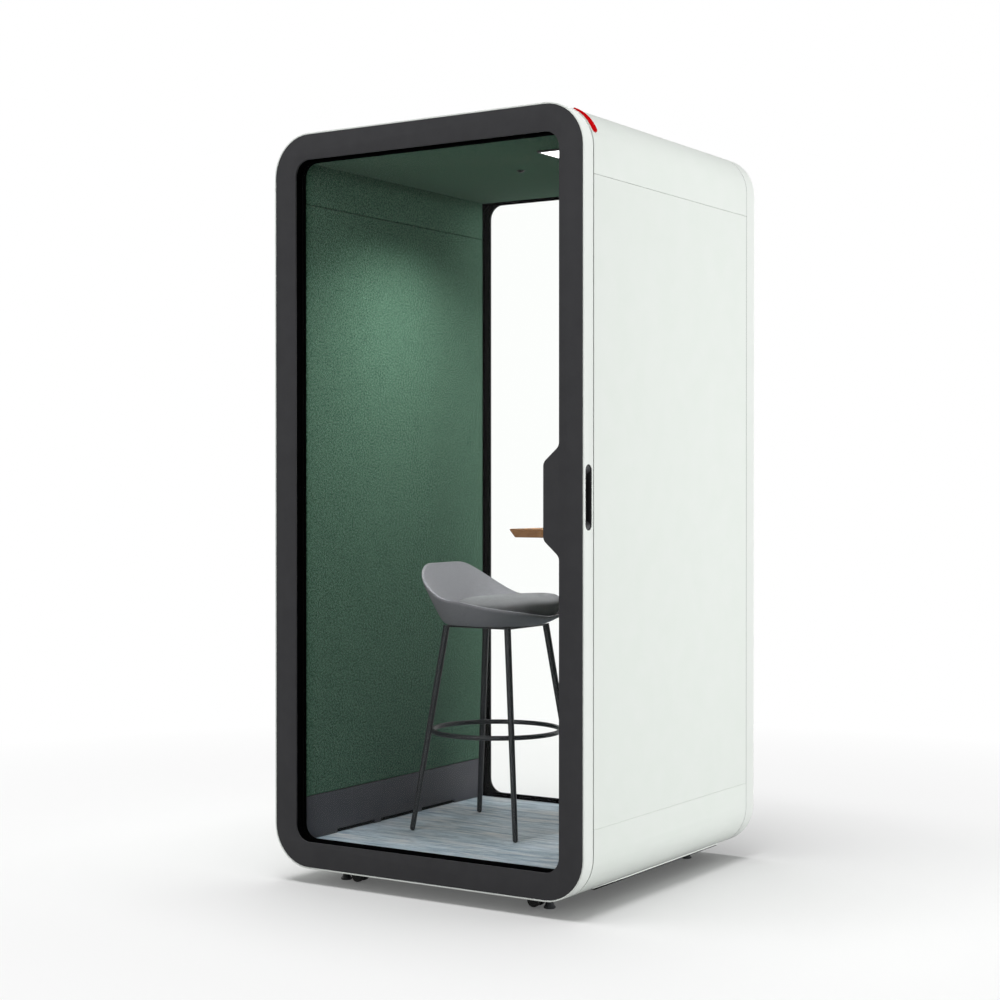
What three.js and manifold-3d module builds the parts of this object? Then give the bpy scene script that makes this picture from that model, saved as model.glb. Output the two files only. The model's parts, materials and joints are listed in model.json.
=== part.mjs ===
// Acoustic office pod: a one-person cabin with a full-height glazed door, a glazed rear wall,
// upholstered linings, a wall-hung table and a bar stool. Millimetres, +Z up, origin on the floor
// under the centre of the shell. The door faces -Y, its handle edge is at +X, its hinges at -X.
import * as THREE from "three";
import { mergeVertices } from "three/addons/utils/BufferGeometryUtils.js";
import Module from "manifold-3d";

const wasm = await Module();
wasm.setup();

// Shell
const POD_W = 1084; // outside width
const POD_D = 1085; // outside depth, door face to rear face
const BODY_H = 2208; // shell height without the feet
const BASE_Z = 46; // clearance under the shell
const EDGE_R = 127; // rounded long edges of the shell
const SKIN = 3; // sheet thickness of the shell
const BASE_H = 203; // height of the base module
const ROOF_H = 200.4; // height of the roof module
const SEAM = 1.5; // open width of the seams between modules
const FIT = 0.3; // clearance between neighbouring pieces
const HALF_W = POD_W / 2;
const HALF_D = POD_D / 2;
const TOP_Z = BASE_Z + BODY_H;
const SEAM_LOW = BASE_Z + BASE_H;
const SEAM_HIGH = TOP_Z - ROOF_H;

// Door and rear frame
const DOOR_T = 50; // door thickness
const DOOR_GAP = 3; // gap between door and body
const REAR_T = 54.5; // rear frame thickness
const REAR_GAP = 2; // gap between body and rear frame
const LIP = 4.3; // white edge that surrounds the dark face
const FACE_T = 6; // dark face plate
const BAND = 80; // width of the frames round the glazed openings
const OPEN_R = 48; // corner radius of the glazed openings
const LINER_T = 13; // black reveal around each opening
const GLASS_T = 8; // laminated pane
const PANE_SET = 7; // door pane in front of the door's inner plane
const REAR_PANE_SET = 20; // rear pane behind the rear frame's inner plane
const SEAL_INSET = 22; // rubber seal in the door gap, from the outside
const SEAL_W = 8;
const JAMB_T = 20;
const OPEN_HALF = HALF_W - BAND;
const OPEN_Z0 = BASE_Z + BAND;
const OPEN_Z1 = TOP_Z - BAND;
const DOOR_BACK = -HALF_D + DOOR_T;
const BODY_Y0 = DOOR_BACK + DOOR_GAP;
const REAR_FRONT = HALF_D - REAR_T;
const BODY_Y1 = REAR_FRONT - REAR_GAP;
const CORE_Y0 = BODY_Y0 + JAMB_T + 2 * FIT;

// Door handle
const SLOT_Z = 1164.5; // middle of the handle slot
const SLOT_W = 34; // handle slot across the door edge
const SLOT_H = 181; // handle slot height
const SLOT_SET = 25.7; // middle of the handle slot behind the door face
const SLOT_DEEP = 42; // handle pocket depth
const POCKET_T = 3; // wall of the handle pocket
const GRIP_W = 50.7; // grip plate, standing in from the opening's side
const GRIP_UP = 141.5; // grip plate above and below the slot's middle
const GRIP_DOWN = 163.5;
const GRIP_RISE = 45; // height of each sloping shoulder
const GRIP_R = 24;
const GRIP_INSET = 5; // block behind the grip plate
const SLOT_Y = -HALF_D + SLOT_SET;
const GRIP_X = OPEN_HALF - GRIP_W;
const GRIP_Z0 = SLOT_Z - GRIP_DOWN;
const GRIP_Z1 = SLOT_Z + GRIP_UP;

// Hinges: barrels outside the left skin
const HINGE_R = 4;
const HINGE_PIN_R = 2;
const HINGE_HALF = 46; // length of each hinge half
const HINGE_LEAF = 24;
const HINGE_END = 304; // outer hinges from the top of the shell
const HINGE_FOOT = 284; // and from its bottom
const HINGE_LEVELS = {
  top: TOP_Z - HINGE_END,
  middle: BASE_Z + BODY_H / 2,
  bottom: BASE_Z + HINGE_FOOT,
};

// Cabin
const WALL_T = 80; // wall from outside to lining face
const FLOOR_H = 72; // floor covering above the underside of the shell
const CEILING_H = 78; // top of the shell above the ceiling lining
const LINING = 9; // thickness of linings and skirtings
const COVERING_T = 6; // floor covering
const SKIRT_H = 132; // height of the skirtings
const LINING_DROP = 203; // seam in the wall linings below the top of the shell
const LINING_SEAM_W = 1;
const VENT_L = 194; // vent slots at the foot of each skirting
const VENT_H = 12;
const VENT_PITCH = 228;
const VENT_Y = -12; // middle vent slot
const CABIN_Y = -2; // middle of the cabin's depth
const INNER_X = HALF_W - WALL_T;
const FLOOR_Z = BASE_Z + FLOOR_H;
const CEILING_Z = TOP_Z - CEILING_H;
const SKIRT_TOP = FLOOR_Z + SKIRT_H;
const LINING_SEAM = TOP_Z - LINING_DROP;
const BEHIND = INNER_X + LINING + FIT;
const WALL = INNER_X - FIT;

// Table
const TABLE_DEPTH = 312;
const TABLE_HEIGHT = 952; // above the cabin floor
const TABLE_T = 25;
const TABLE_L = 600;
const TABLE_BEVEL = 18;
const TABLE_NOSE = 4; // upright part of the user edge
const BRACKET_W = 30;
const BRACKET_T = 6;
const BRACKET_DROP = 150; // wall leg of each bracket
const BRACKET_ARM = 242; // arm under the table
const BRACKET_BRACE = 70;
const BRACKET_END = 100; // brackets in from the table's ends
const BRACKET_PITCH = TABLE_L - 2 * BRACKET_END;
const TABLE_EDGE = INNER_X - TABLE_DEPTH;
const TABLE_TOP = FLOOR_Z + TABLE_HEIGHT;

// Ceiling panel with light, fan slots and fan, motion sensor
const LAMP_SET = 16; // panel in from the wall lining
const LAMP_W = 210;
const LAMP_L = 572;
const LAMP_DROP = 6;
const LAMP_EDGE = 8; // panel edge round the diffuser
const DIFFUSER_W = 70;
const DIFFUSER_T = 3.3;
const FAN_SET = 63; // fan axis in from the panel's wall edge
const FAN_BOX = 110;
const FAN_T = 38;
const FAN_R = 50;
const FAN_HUB = 17;
const STRUT_T = 4;
const FAN_SLOTS = { count: 6, pitch: 14, width: 7, length: 84 };
const SENSOR_X = 14;
const SENSOR_Y = -23.5;
const LAMP_X1 = INNER_X - LAMP_SET;
const LAMP_X0 = LAMP_X1 - LAMP_W;
const FAN_X = LAMP_X1 - FAN_SET;

// Status light round the upper right edge
const STATUS_FROM = 20; // degrees
const STATUS_TO = 66;
const STATUS_SET = 21; // behind the front edge of the body
const STATUS_W = 24;
const STATUS_PROUD = 0.8;
const STATUS_Y = BODY_Y0 + STATUS_SET;

// Power inlet low on the left side
const INLET_SET = 122.5; // in front of the rear face
const INLET_DROP = 37; // below the lower seam
const INLET_W = 50;
const INLET_H = 32;
const INLET_DEEP = 30;
const SOCKET_W = 28;
const SOCKET_H = 20;
const SOCKET_DEEP = 18;
const INLET = {
  y: HALF_D - INLET_SET,
  z: SEAM_LOW - INLET_DROP,
};

// Running gear
const CASTOR_IN = 230; // swivel axes in from the sides and the ends
const CASTOR_SET = 111;
const CASTOR_R = 19.5; // wheel radius
const AXLE_Z = 22;
const TRAIL = 10; // axle behind the swivel axis
const STEM_R = 5;
const STEM_TOP = 90;
const FOOT_IN = 181; // levelling feet in from the sides and the ends
const FOOT_SET = 118.5;
const FOOT_R = 17;
const FOOT_TOP = 94;
const CASTOR_X = HALF_W - CASTOR_IN;
const CASTOR_Y = HALF_D - CASTOR_SET;
const FOOT_X = HALF_W - FOOT_IN;
const FOOT_Y = HALF_D - FOOT_SET;

// Stool: heights above the cabin floor
const STOOL_X = -98;
const STOOL_Y = 11;
const LEG_FOOT = 191; // half spacing of the feet
const LEG_HEAD = 113; // half spacing of the leg heads
const LEG_TOP = 636;
const LEG_R0 = 8.2; // leg radius at the foot and at the head
const LEG_R1 = 10.6;
const RING_Z = 308;
const RING_R = 203;
const RING_TUBE = 7.5;
const PLATE_HALF = 118; // plate under the seat
const PLATE_R = 20;
const SEAT_BASE = 642;
const SEAT_DEPTH = 205; // half depth of the seat shell
const SEAT_WIDTH = 218; // half width of the seat shell
const SEAT_SQUARE = 3.2; // 2 is an ellipse, more is squarer
const BOWL_SHARE = 0.62; // share of the seat's plan at the foot of the tub's inside
const RIM_SHARE = 0.94; // and at its top
const BOWL_T = 20; // seat shell under the cushion
const RIM_FRONT = 676;
const RIM_SIDE = 727;
const RIM_BACK = 834;
const RIM_DROP = 8; // rounding of the rim
const CUSHION_TOP = 744;
const CUSHION_CROWN = 40;
const CUSHION_LIP = 0.97; // share of the seat's plan that the cushion covers at the front

const { degToRad, clamp, lerp, smoothstep } = THREE.MathUtils;
const v2 = (x, y) => new THREE.Vector2(x, y);
const v3 = (x, y, z) => new THREE.Vector3(x, y, z);

const LOOKS = {
  white: { color: 0xeef3ed, roughness: 0.38, metalness: 0 },
  dark: { color: 0x3b3b3d, roughness: 0.5, metalness: 0.1 },
  reveal: { color: 0x060606, roughness: 0.15, metalness: 0 },
  felt: { color: 0x4f7160, roughness: 0.95, metalness: 0 },
  core: { color: 0x4a4c4e, roughness: 1, metalness: 0 },
  skirting: { color: 0x37393b, roughness: 0.55, metalness: 0 },
  floor: { color: 0x8c99a3, roughness: 0.6, metalness: 0 },
  glass: { color: 0xf4faf8, roughness: 0.03, metalness: 0, transparent: true, opacity: 0.12 },
  rubber: { color: 0x18181a, roughness: 0.85, metalness: 0 },
  black: { color: 0x141416, roughness: 0.5, metalness: 0 },
  steel: { color: 0x2b2c2e, roughness: 0.45, metalness: 0.8 },
  oak: { color: 0xa47648, roughness: 0.5, metalness: 0 },
  status: { color: 0xd31217, roughness: 0.3, metalness: 0, emissive: 0xd31217 },
  lamp: { color: 0xffffff, roughness: 0.5, metalness: 0, emissive: 0xffffff },
  tub: { color: 0x86868b, roughness: 0.9, metalness: 0 },
  cushion: { color: 0x77787b, roughness: 0.95, metalness: 0 },
};

const pod = new THREE.Group();
pod.name = "acoustic_pod";

function part(name, geometry, look, parent = pod) {
  const mesh = new THREE.Mesh(geometry, new THREE.MeshStandardMaterial(LOOKS[look]));
  mesh.name = name;
  parent.add(mesh);
  return mesh;
}

function groupAt(x, y, z, parent = pod) {
  const group = new THREE.Group();
  group.position.set(x, y, z);
  parent.add(group);
  return group;
}

// Closed outline through corners [x, y, radius]; a corner with a radius becomes an arc.
function outline(corners, step = 9) {
  const points = [];
  corners.forEach(([x, y, r], i) => {
    const corner = v2(x, y);
    if (!r) {
      points.push(corner);
      return;
    }
    const before = corners.at(i - 1);
    const after = corners[(i + 1) % corners.length];
    const a = v2(before[0], before[1]).sub(corner).normalize();
    const b = v2(after[0], after[1]).sub(corner).normalize();
    const half = Math.acos(clamp(a.dot(b), -1, 1)) / 2;
    const start = corner.clone().addScaledVector(a, r / Math.tan(half));
    const end = corner.clone().addScaledVector(b, r / Math.tan(half));
    const centre = corner.clone().addScaledVector(a.clone().add(b).normalize(), r / Math.sin(half));
    const from = start.clone().sub(centre).angle();
    const swing = end.clone().sub(centre).angle() - from;
    const turn = Math.atan2(Math.sin(swing), Math.cos(swing));
    const count = Math.max(2, Math.ceil(Math.abs(turn) / degToRad(step)));
    for (let k = 0; k <= count; k++) {
      const t = from + (turn * k) / count;
      points.push(v2(centre.x + r * Math.cos(t), centre.y + r * Math.sin(t)));
    }
  });
  return points;
}

const rect = (half, low, high, r = 0) => [
  [half, low, r],
  [half, high, r],
  [-half, high, r],
  [-half, low, r],
];

// Points on an arc round (x, y), both ends included.
function arc(x, y, r, from, to, count) {
  return Array.from({ length: count + 1 }, (_, k) => {
    const t = lerp(from, to, k / count);
    return v2(x + r * Math.cos(t), y + r * Math.sin(t));
  });
}

const disc = (r, count = 12) => arc(0, 0, r, 0, 2 * Math.PI, count).slice(1);

const stadium = (w, h, count) => [
  ...arc(0, (h - w) / 2, w / 2, 0, Math.PI, count),
  ...arc(0, (w - h) / 2, w / 2, Math.PI, 2 * Math.PI, count),
];

function shapeOf(outer, ...holes) {
  const shape = new THREE.Shape(outer);
  shape.holes = holes.map((hole) => new THREE.Path(hole));
  return shape;
}

const ALONG_Y = new THREE.Matrix4().makeBasis(v3(1, 0, 0), v3(0, 0, 1), v3(0, -1, 0));
const ALONG_X = new THREE.Matrix4().makeBasis(v3(0, 1, 0), v3(0, 0, 1), v3(1, 0, 0));

const slab = (shape, depth) => new THREE.ExtrudeGeometry(shape, { depth, bevelEnabled: false });

// Prisms: an outline in x and z along y, in y and z along x, and in x and y along z.
const alongY = (shape, y0, y1) => slab(shape, y1 - y0).applyMatrix4(ALONG_Y).translate(0, y1, 0);
const alongX = (shape, x0, x1) => slab(shape, x1 - x0).applyMatrix4(ALONG_X).translate(x0, 0, 0);
const alongZ = (shape, z0, z1) => slab(shape, z1 - z0).translate(0, 0, z0);

function block(x0, x1, y0, y1, z0, z1) {
  const box = new THREE.BoxGeometry(x1 - x0, y1 - y0, z1 - z0);
  return box.translate((x0 + x1) / 2, (y0 + y1) / 2, (z0 + z1) / 2);
}

const rod = (r, z0, z1, x = 0, y = 0, count = 12) =>
  alongZ(shapeOf(disc(r, count)), z0, z1).translate(x, y, 0);

// Turned piece about z through profile points [radius, z].
function turned(profile, count) {
  const lathe = new THREE.LatheGeometry(profile.map(([r, z]) => v2(r, z)), count);
  return lathe.rotateX(Math.PI / 2);
}

function solid(geometry) {
  const loose = geometry.index ? geometry.toNonIndexed() : geometry.clone();
  loose.deleteAttribute("normal");
  loose.deleteAttribute("uv");
  const merged = mergeVertices(loose, 1e-3);
  const mesh = new wasm.Mesh({
    numProp: 3,
    vertProperties: merged.attributes.position.array,
    triVerts: new Uint32Array(merged.index.array),
  });
  return new wasm.Manifold(mesh);
}

function geometryOf(body) {
  const mesh = body.getMesh();
  const geometry = new THREE.BufferGeometry();
  geometry.setAttribute("position", new THREE.BufferAttribute(mesh.vertProperties, 3));
  geometry.setIndex(new THREE.BufferAttribute(mesh.triVerts, 1));
  return geometry;
}

const cut = (stock, ...tools) =>
  geometryOf(tools.reduce((body, tool) => body.subtract(solid(tool)), solid(stock)));

const join = (stock, ...more) =>
  geometryOf(more.reduce((body, extra) => body.add(solid(extra)), solid(stock)));

// Closed skin over rings of equally many points, capped at both ends.
function loft(rings) {
  const count = rings[0].length;
  const positions = rings.flat().flatMap((p) => [p.x, p.y, p.z]);
  const index = [];
  for (let i = 0; i + 1 < rings.length; i++) {
    for (let j = 0; j < count; j++) {
      const a = i * count + j;
      const b = i * count + ((j + 1) % count);
      index.push(a, b, b + count, a, b + count, a + count);
    }
  }
  const last = (rings.length - 1) * count;
  for (let j = 1; j + 1 < count; j++) {
    index.push(0, j + 1, j, last, last + j, last + j + 1);
  }
  const geometry = new THREE.BufferGeometry();
  geometry.setAttribute("position", new THREE.Float32BufferAttribute(positions, 3));
  geometry.setIndex(index);
  return geometry;
}

const podOutline = (inset, step = 9) =>
  outline(rect(HALF_W - inset, BASE_Z + inset, TOP_Z - inset, EDGE_R - inset), step);

const openingOutline = (inset) =>
  outline(rect(OPEN_HALF - inset, OPEN_Z0 + inset, OPEN_Z1 - inset, OPEN_R - inset));

const linerOutline = (grow) =>
  outline(rect(OPEN_HALF + LINER_T + grow, OPEN_Z0 - LINER_T - grow, OPEN_Z1 + LINER_T + grow));

// Opening of the door face, with the grip plate standing in from its right side.
const gripOutline = outline([
  [OPEN_HALF, OPEN_Z0, OPEN_R],
  [OPEN_HALF, GRIP_Z0, GRIP_R],
  [GRIP_X, GRIP_Z0 + GRIP_RISE, GRIP_R],
  [GRIP_X, GRIP_Z1 - GRIP_RISE, GRIP_R],
  [OPEN_HALF, GRIP_Z1, GRIP_R],
  [OPEN_HALF, OPEN_Z1, OPEN_R],
  [-OPEN_HALF, OPEN_Z1, OPEN_R],
  [-OPEN_HALF, OPEN_Z0, OPEN_R],
]);

// White frame, dark face plate and black reveal of a glazed end, from its outer plane to its inner plane.
function glazedEnd(outer, inner, hole) {
  const side = Math.sign(outer);
  const span = (a, b) => [Math.min(a, b), Math.max(a, b)];
  const seat = outer - side * (FACE_T + FIT);
  const ring = alongY(shapeOf(podOutline(0), linerOutline(FIT)), ...span(outer, inner));
  const recess = alongY(shapeOf(podOutline(LIP)), ...span(seat, outer + side));
  return {
    frame: cut(ring, recess),
    face: alongY(shapeOf(podOutline(LIP + FIT), hole), ...span(outer - side * FACE_T, outer)),
    liner: alongY(shapeOf(linerOutline(0), openingOutline(0)), ...span(seat, inner)),
  };
}

const pane = (y0) => alongY(shapeOf(openingOutline(FIT)), y0, y0 + GLASS_T);

// U-shaped cross-section, open towards zOpen, with its closed side at zClosed.
function channel(inset, zOpen, zClosed, innerX, innerZ, innerR) {
  return shapeOf(
    outline([
      [HALF_W - inset, zOpen, 0],
      [HALF_W - inset, zClosed, EDGE_R - inset],
      [inset - HALF_W, zClosed, EDGE_R - inset],
      [inset - HALF_W, zOpen, 0],
      [-innerX, zOpen, 0],
      [-innerX, innerZ, innerR],
      [innerX, innerZ, innerR],
      [innerX, zOpen, 0],
    ]),
  );
}

// Bar that lies round the upper right edge of the shell, with rounded ends.
function edgeBar(r0, r1, width, from, to) {
  const count = 14;
  const endAngle = width / 2 / EDGE_R;
  const rings = [];
  for (let i = 0; i <= count; i++) {
    const t = (1 - Math.cos((Math.PI * i) / count)) / 2;
    const angle = lerp(degToRad(from), degToRad(to), t);
    const toEnd = Math.min(angle - degToRad(from), degToRad(to) - angle) / endAngle;
    const bulge = toEnd >= 1 ? 1 : Math.sqrt(Math.max(0.04, 1 - (1 - toEnd) ** 2));
    const at = (r, y) =>
      v3(HALF_W - EDGE_R + r * Math.cos(angle), STATUS_Y + y, TOP_Z - EDGE_R + r * Math.sin(angle));
    const w = (bulge * width) / 2;
    rings.push([at(r0, -w), at(r1, -w), at(r1, w), at(r0, w)]);
  }
  return loft(rings);
}

// Straight slots side by side across x, each running along y.
function slots(x, y, z0, z1, { count, pitch, width, length }) {
  return Array.from({ length: count }, (_, i) => {
    const middle = x + (i - (count - 1) / 2) * pitch;
    return alongZ(shapeOf(stadium(width, length, 3)), z0, z1).translate(middle, y, 0);
  });
}

const corners = [
  ["front_left", -1, -1],
  ["front_right", 1, -1],
  ["rear_left", -1, 1],
  ["rear_right", 1, 1],
];

// Roof module
const fitAngle = (FIT / EDGE_R) * THREE.MathUtils.RAD2DEG;
const statusSlot = edgeBar(
  EDGE_R - 2 * SKIN,
  EDGE_R + 2 * SKIN,
  STATUS_W + 2 * FIT,
  STATUS_FROM - fitAngle,
  STATUS_TO + fitAngle,
);
const roofSection = channel(0, SEAM_HIGH + SEAM / 2, TOP_Z, HALF_W - SKIN, TOP_Z - SKIN, EDGE_R - SKIN);
const exhaust = slots(FAN_X, CABIN_Y, TOP_Z - 3 * SKIN, TOP_Z + SKIN, FAN_SLOTS);
part("roof_shell", cut(alongY(roofSection, BODY_Y0, BODY_Y1), statusSlot, ...exhaust), "white");

const ROOF_INNER = CEILING_Z + LINING + FIT;
const roofCore = channel(SKIN + FIT, SEAM_HIGH + SEAM / 2, TOP_Z - SKIN - FIT, BEHIND, ROOF_INNER, 0);
const bayHalf = FAN_BOX / 2 + 1;
const bayTop = CEILING_Z + LINING + FAN_T + 3;
const fanBay = block(
  FAN_X - bayHalf,
  FAN_X + bayHalf,
  CABIN_Y - bayHalf,
  CABIN_Y + bayHalf,
  CEILING_Z,
  bayTop,
);
const fanDuct = rod(FAN_R - 4, bayTop - 10, TOP_Z, FAN_X, CABIN_Y, 20);
part("roof_core", cut(alongY(roofCore, CORE_Y0, REAR_FRONT - FIT), fanBay, fanDuct), "core");
const statusRadii = [EDGE_R - SKIN + FIT, EDGE_R + STATUS_PROUD];
part("status_light", edgeBar(...statusRadii, STATUS_W, STATUS_FROM, STATUS_TO), "status");

// Side panels, wall cores and linings
const PANEL_Z = [SEAM_LOW + SEAM / 2, SEAM_HIGH - SEAM / 2];
const LINING_Y = [BODY_Y0 + FIT, REAR_FRONT - FIT];
for (const [name, side] of [["left", -1], ["right", 1]]) {
  const across = (a, b) => (side > 0 ? [a, b] : [-b, -a]);
  const depth = [CORE_Y0, REAR_FRONT - FIT];
  const skin = across(HALF_W - SKIN, HALF_W);
  part(`side_panel_${name}`, block(...skin, BODY_Y0, BODY_Y1, ...PANEL_Z), "white");
  part(`wall_core_${name}`, block(...across(BEHIND, HALF_W - SKIN - FIT), ...depth, ...PANEL_Z), "core");
  const layer = across(INNER_X, INNER_X + LINING);
  const liningTop = LINING_SEAM - LINING_SEAM_W / 2;
  part(`wall_lining_${name}`, block(...layer, ...LINING_Y, SKIRT_TOP + LINING_SEAM_W, liningTop), "felt");
  const upper = [liningTop + LINING_SEAM_W, CEILING_Z + LINING];
  part(`upper_lining_${name}`, block(...layer, ...LINING_Y, ...upper), "felt");
  const vents = [-1, 0, 1].map((i) => {
    const y = VENT_Y + i * VENT_PITCH;
    const through = across(INNER_X - 1, INNER_X + LINING + 1);
    return block(...through, y - VENT_L / 2, y + VENT_L / 2, 0, FLOOR_Z + VENT_H);
  });
  part(`skirting_${name}`, cut(block(...layer, ...LINING_Y, FLOOR_Z + FIT, SKIRT_TOP), ...vents), "skirting");
}
const fanHole = rod(FAN_R + 2, CEILING_Z - LINING, CEILING_Z + 2 * LINING, FAN_X, CABIN_Y, 24);
const ceiling = block(FIT - INNER_X, INNER_X - FIT, ...LINING_Y, CEILING_Z, CEILING_Z + LINING);
part("ceiling_lining", cut(ceiling, fanHole), "felt");

// Base module
const stemHoles = (r, top) =>
  corners.flatMap(([, sx, sy]) => [
    rod(r, BASE_Z / 2, top, sx * CASTOR_X, sy * CASTOR_Y),
    rod(r, BASE_Z / 2, top, sx * FOOT_X, sy * FOOT_Y),
  ]);
const inletBox = (w, h, deep) =>
  block(
    -HALF_W - 1,
    -HALF_W + deep,
    INLET.y - w / 2,
    INLET.y + w / 2,
    INLET.z - h / 2,
    INLET.z + h / 2,
  );
const inletHole = inletBox(INLET_W + 2 * FIT, INLET_H + 2 * FIT, INLET_DEEP + FIT);
const baseSection = channel(0, SEAM_LOW - SEAM / 2, BASE_Z, HALF_W - SKIN, BASE_Z + SKIN, EDGE_R - SKIN);
const base = alongY(baseSection, BODY_Y0, BODY_Y1);
part("base_shell", cut(base, ...stemHoles(STEM_R + 1, BASE_Z + 14), inletHole), "white");
const DECK_TOP = FLOOR_Z - COVERING_T - FIT;
const deckSection = channel(SKIN + FIT, SEAM_LOW - SEAM / 2, BASE_Z + SKIN + FIT, BEHIND, DECK_TOP, 0);
const deck = alongY(deckSection, CORE_Y0, REAR_FRONT - FIT);
part("floor_deck", cut(deck, ...stemHoles(STEM_R + 0.4, FOOT_TOP + 10), inletHole), "core");
const FLOOR_HALF = INNER_X + LINING;
part("floor_covering", block(-FLOOR_HALF, FLOOR_HALF, ...LINING_Y, FLOOR_Z - COVERING_T, FLOOR_Z), "floor");

const PIN_PITCH = 7;
const PIN_RISE = 4;
const pins = [-1, 0, 1].map((i) => {
  const y = INLET.y + i * PIN_PITCH;
  const z = INLET.z + (i === 0 ? PIN_RISE : -PIN_RISE / 2);
  return block(-HALF_W + 4, -HALF_W + SOCKET_DEEP + 4, y - 1, y + 1, z - 2.5, z + 2.5);
});
const inletBody = inletBox(INLET_W, INLET_H, INLET_DEEP);
const socket = inletBox(SOCKET_W, SOCKET_H, SOCKET_DEEP).translate(-1, 0, 0);
part("power_inlet", join(cut(inletBody, socket), ...pins), "black");

// Jamb that the door closes on
const jambHole = outline(rect(BEHIND, DECK_TOP, CEILING_Z + LINING + FIT));
const jamb = shapeOf(podOutline(SKIN + FIT), jambHole);
part("front_jamb", alongY(jamb, BODY_Y0 + FIT, BODY_Y0 + JAMB_T), "dark");

// Rear glazing
const rear = glazedEnd(HALF_D, REAR_FRONT, openingOutline(0));
part("rear_frame", rear.frame, "white");
part("rear_face", rear.face, "dark");
part("rear_liner", rear.liner, "reveal");
part("rear_glass", pane(REAR_FRONT + REAR_PANE_SET), "glass");

// Door
const door = groupAt(0, 0, 0);
const front = glazedEnd(-HALF_D, DOOR_BACK, gripOutline);
const slotAt = (w, h, x0, x1) => alongX(shapeOf(stadium(w, h, 10)), x0, x1).translate(0, SLOT_Y, SLOT_Z);
const slotHole = slotAt(SLOT_W + 2 * FIT, SLOT_H + 2 * FIT, HALF_W - SLOT_DEEP - FIT, HALF_W + 1);
part("door_frame", cut(front.frame, slotHole), "white", door);
part("door_face", front.face, "dark", door);
const PANE_Y = DOOR_BACK - PANE_SET - GLASS_T;
const gripBlock = outline([
  [OPEN_HALF + LINER_T / 2, GRIP_Z0 + GRIP_INSET, 0],
  [OPEN_HALF, GRIP_Z0 + GRIP_INSET, 0],
  [GRIP_X + GRIP_INSET, GRIP_Z0 + GRIP_RISE + GRIP_INSET, GRIP_R - GRIP_INSET],
  [GRIP_X + GRIP_INSET, GRIP_Z1 - GRIP_RISE - GRIP_INSET, GRIP_R - GRIP_INSET],
  [OPEN_HALF, GRIP_Z1 - GRIP_INSET, 0],
  [OPEN_HALF + LINER_T / 2, GRIP_Z1 - GRIP_INSET, 0],
]);
const gripBody = alongY(shapeOf(gripBlock), -HALF_D + FACE_T + FIT, PANE_Y - FIT);
part("door_liner", join(front.liner, gripBody), "reveal", door);
part("door_glass", pane(PANE_Y), "glass", door);
const sealShape = shapeOf(podOutline(SEAL_INSET, 15), podOutline(SEAL_INSET + SEAL_W, 15));
part("door_seal", alongY(sealShape, DOOR_BACK + FIT, BODY_Y0 - FIT), "rubber", door);
const pocketOuter = slotAt(SLOT_W, SLOT_H, HALF_W - SLOT_DEEP, HALF_W - FIT);
const pocketInner = slotAt(
  SLOT_W - 2 * POCKET_T,
  SLOT_H - 2 * POCKET_T,
  HALF_W - SLOT_DEEP + POCKET_T,
  HALF_W + 1,
);
part("handle_pocket", cut(pocketOuter, pocketInner), "black", door);

// Lift-off hinges: the lower half is fixed to the jamb and carries the pin, the upper half is on the door.
const HINGE_X = -HALF_W - HINGE_R - 0.5;
const HINGE_Y = DOOR_BACK + DOOR_GAP / 2;
for (const [name, level] of Object.entries(HINGE_LEVELS)) {
  const leaf = (z0, z1) => block(0, HINGE_LEAF, -DOOR_GAP / 2 + FIT, DOOR_GAP / 2 - FIT, z0, z1);
  const pin = rod(HINGE_PIN_R, -10, HINGE_HALF - 6);
  const lower = join(rod(HINGE_R, -HINGE_HALF, -FIT), leaf(-HINGE_HALF, -FIT), pin);
  part(`hinge_lower_${name}`, lower, "steel", groupAt(HINGE_X, HINGE_Y, level));
  const pinHole = rod(HINGE_PIN_R + FIT, -10, HINGE_HALF - 5);
  const upper = cut(join(rod(HINGE_R, FIT, HINGE_HALF), leaf(FIT, HINGE_HALF)), pinHole);
  part(`hinge_upper_${name}`, upper, "steel", groupAt(HINGE_X, HINGE_Y, level, door));
}

// Ceiling panel with light, fan slots, fan and motion sensor
const LAMP_Z = CEILING_Z - LAMP_DROP;
const LAMP_Y = [CABIN_Y - LAMP_L / 2, CABIN_Y + LAMP_L / 2];
const diffuserAt = (grow, z0, z1) =>
  block(
    LAMP_X0 + LAMP_EDGE - grow,
    LAMP_X0 + LAMP_EDGE + DIFFUSER_W + grow,
    LAMP_Y[0] + LAMP_EDGE - grow,
    LAMP_Y[1] - LAMP_EDGE + grow,
    z0,
    z1,
  );
const lampPlate = block(LAMP_X0, LAMP_X1, ...LAMP_Y, LAMP_Z, CEILING_Z - FIT);
const fanSlots = slots(FAN_X, CABIN_Y, LAMP_Z - LAMP_DROP, CEILING_Z + LAMP_DROP, FAN_SLOTS);
const lampRecess = diffuserAt(FIT, LAMP_Z - LAMP_DROP, LAMP_Z + DIFFUSER_T - 0.1);
part("lamp_housing", cut(lampPlate, lampRecess, ...fanSlots), "black");
part("lamp_diffuser", diffuserAt(0, LAMP_Z - 0.4, LAMP_Z + DIFFUSER_T - 0.4), "lamp");

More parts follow.
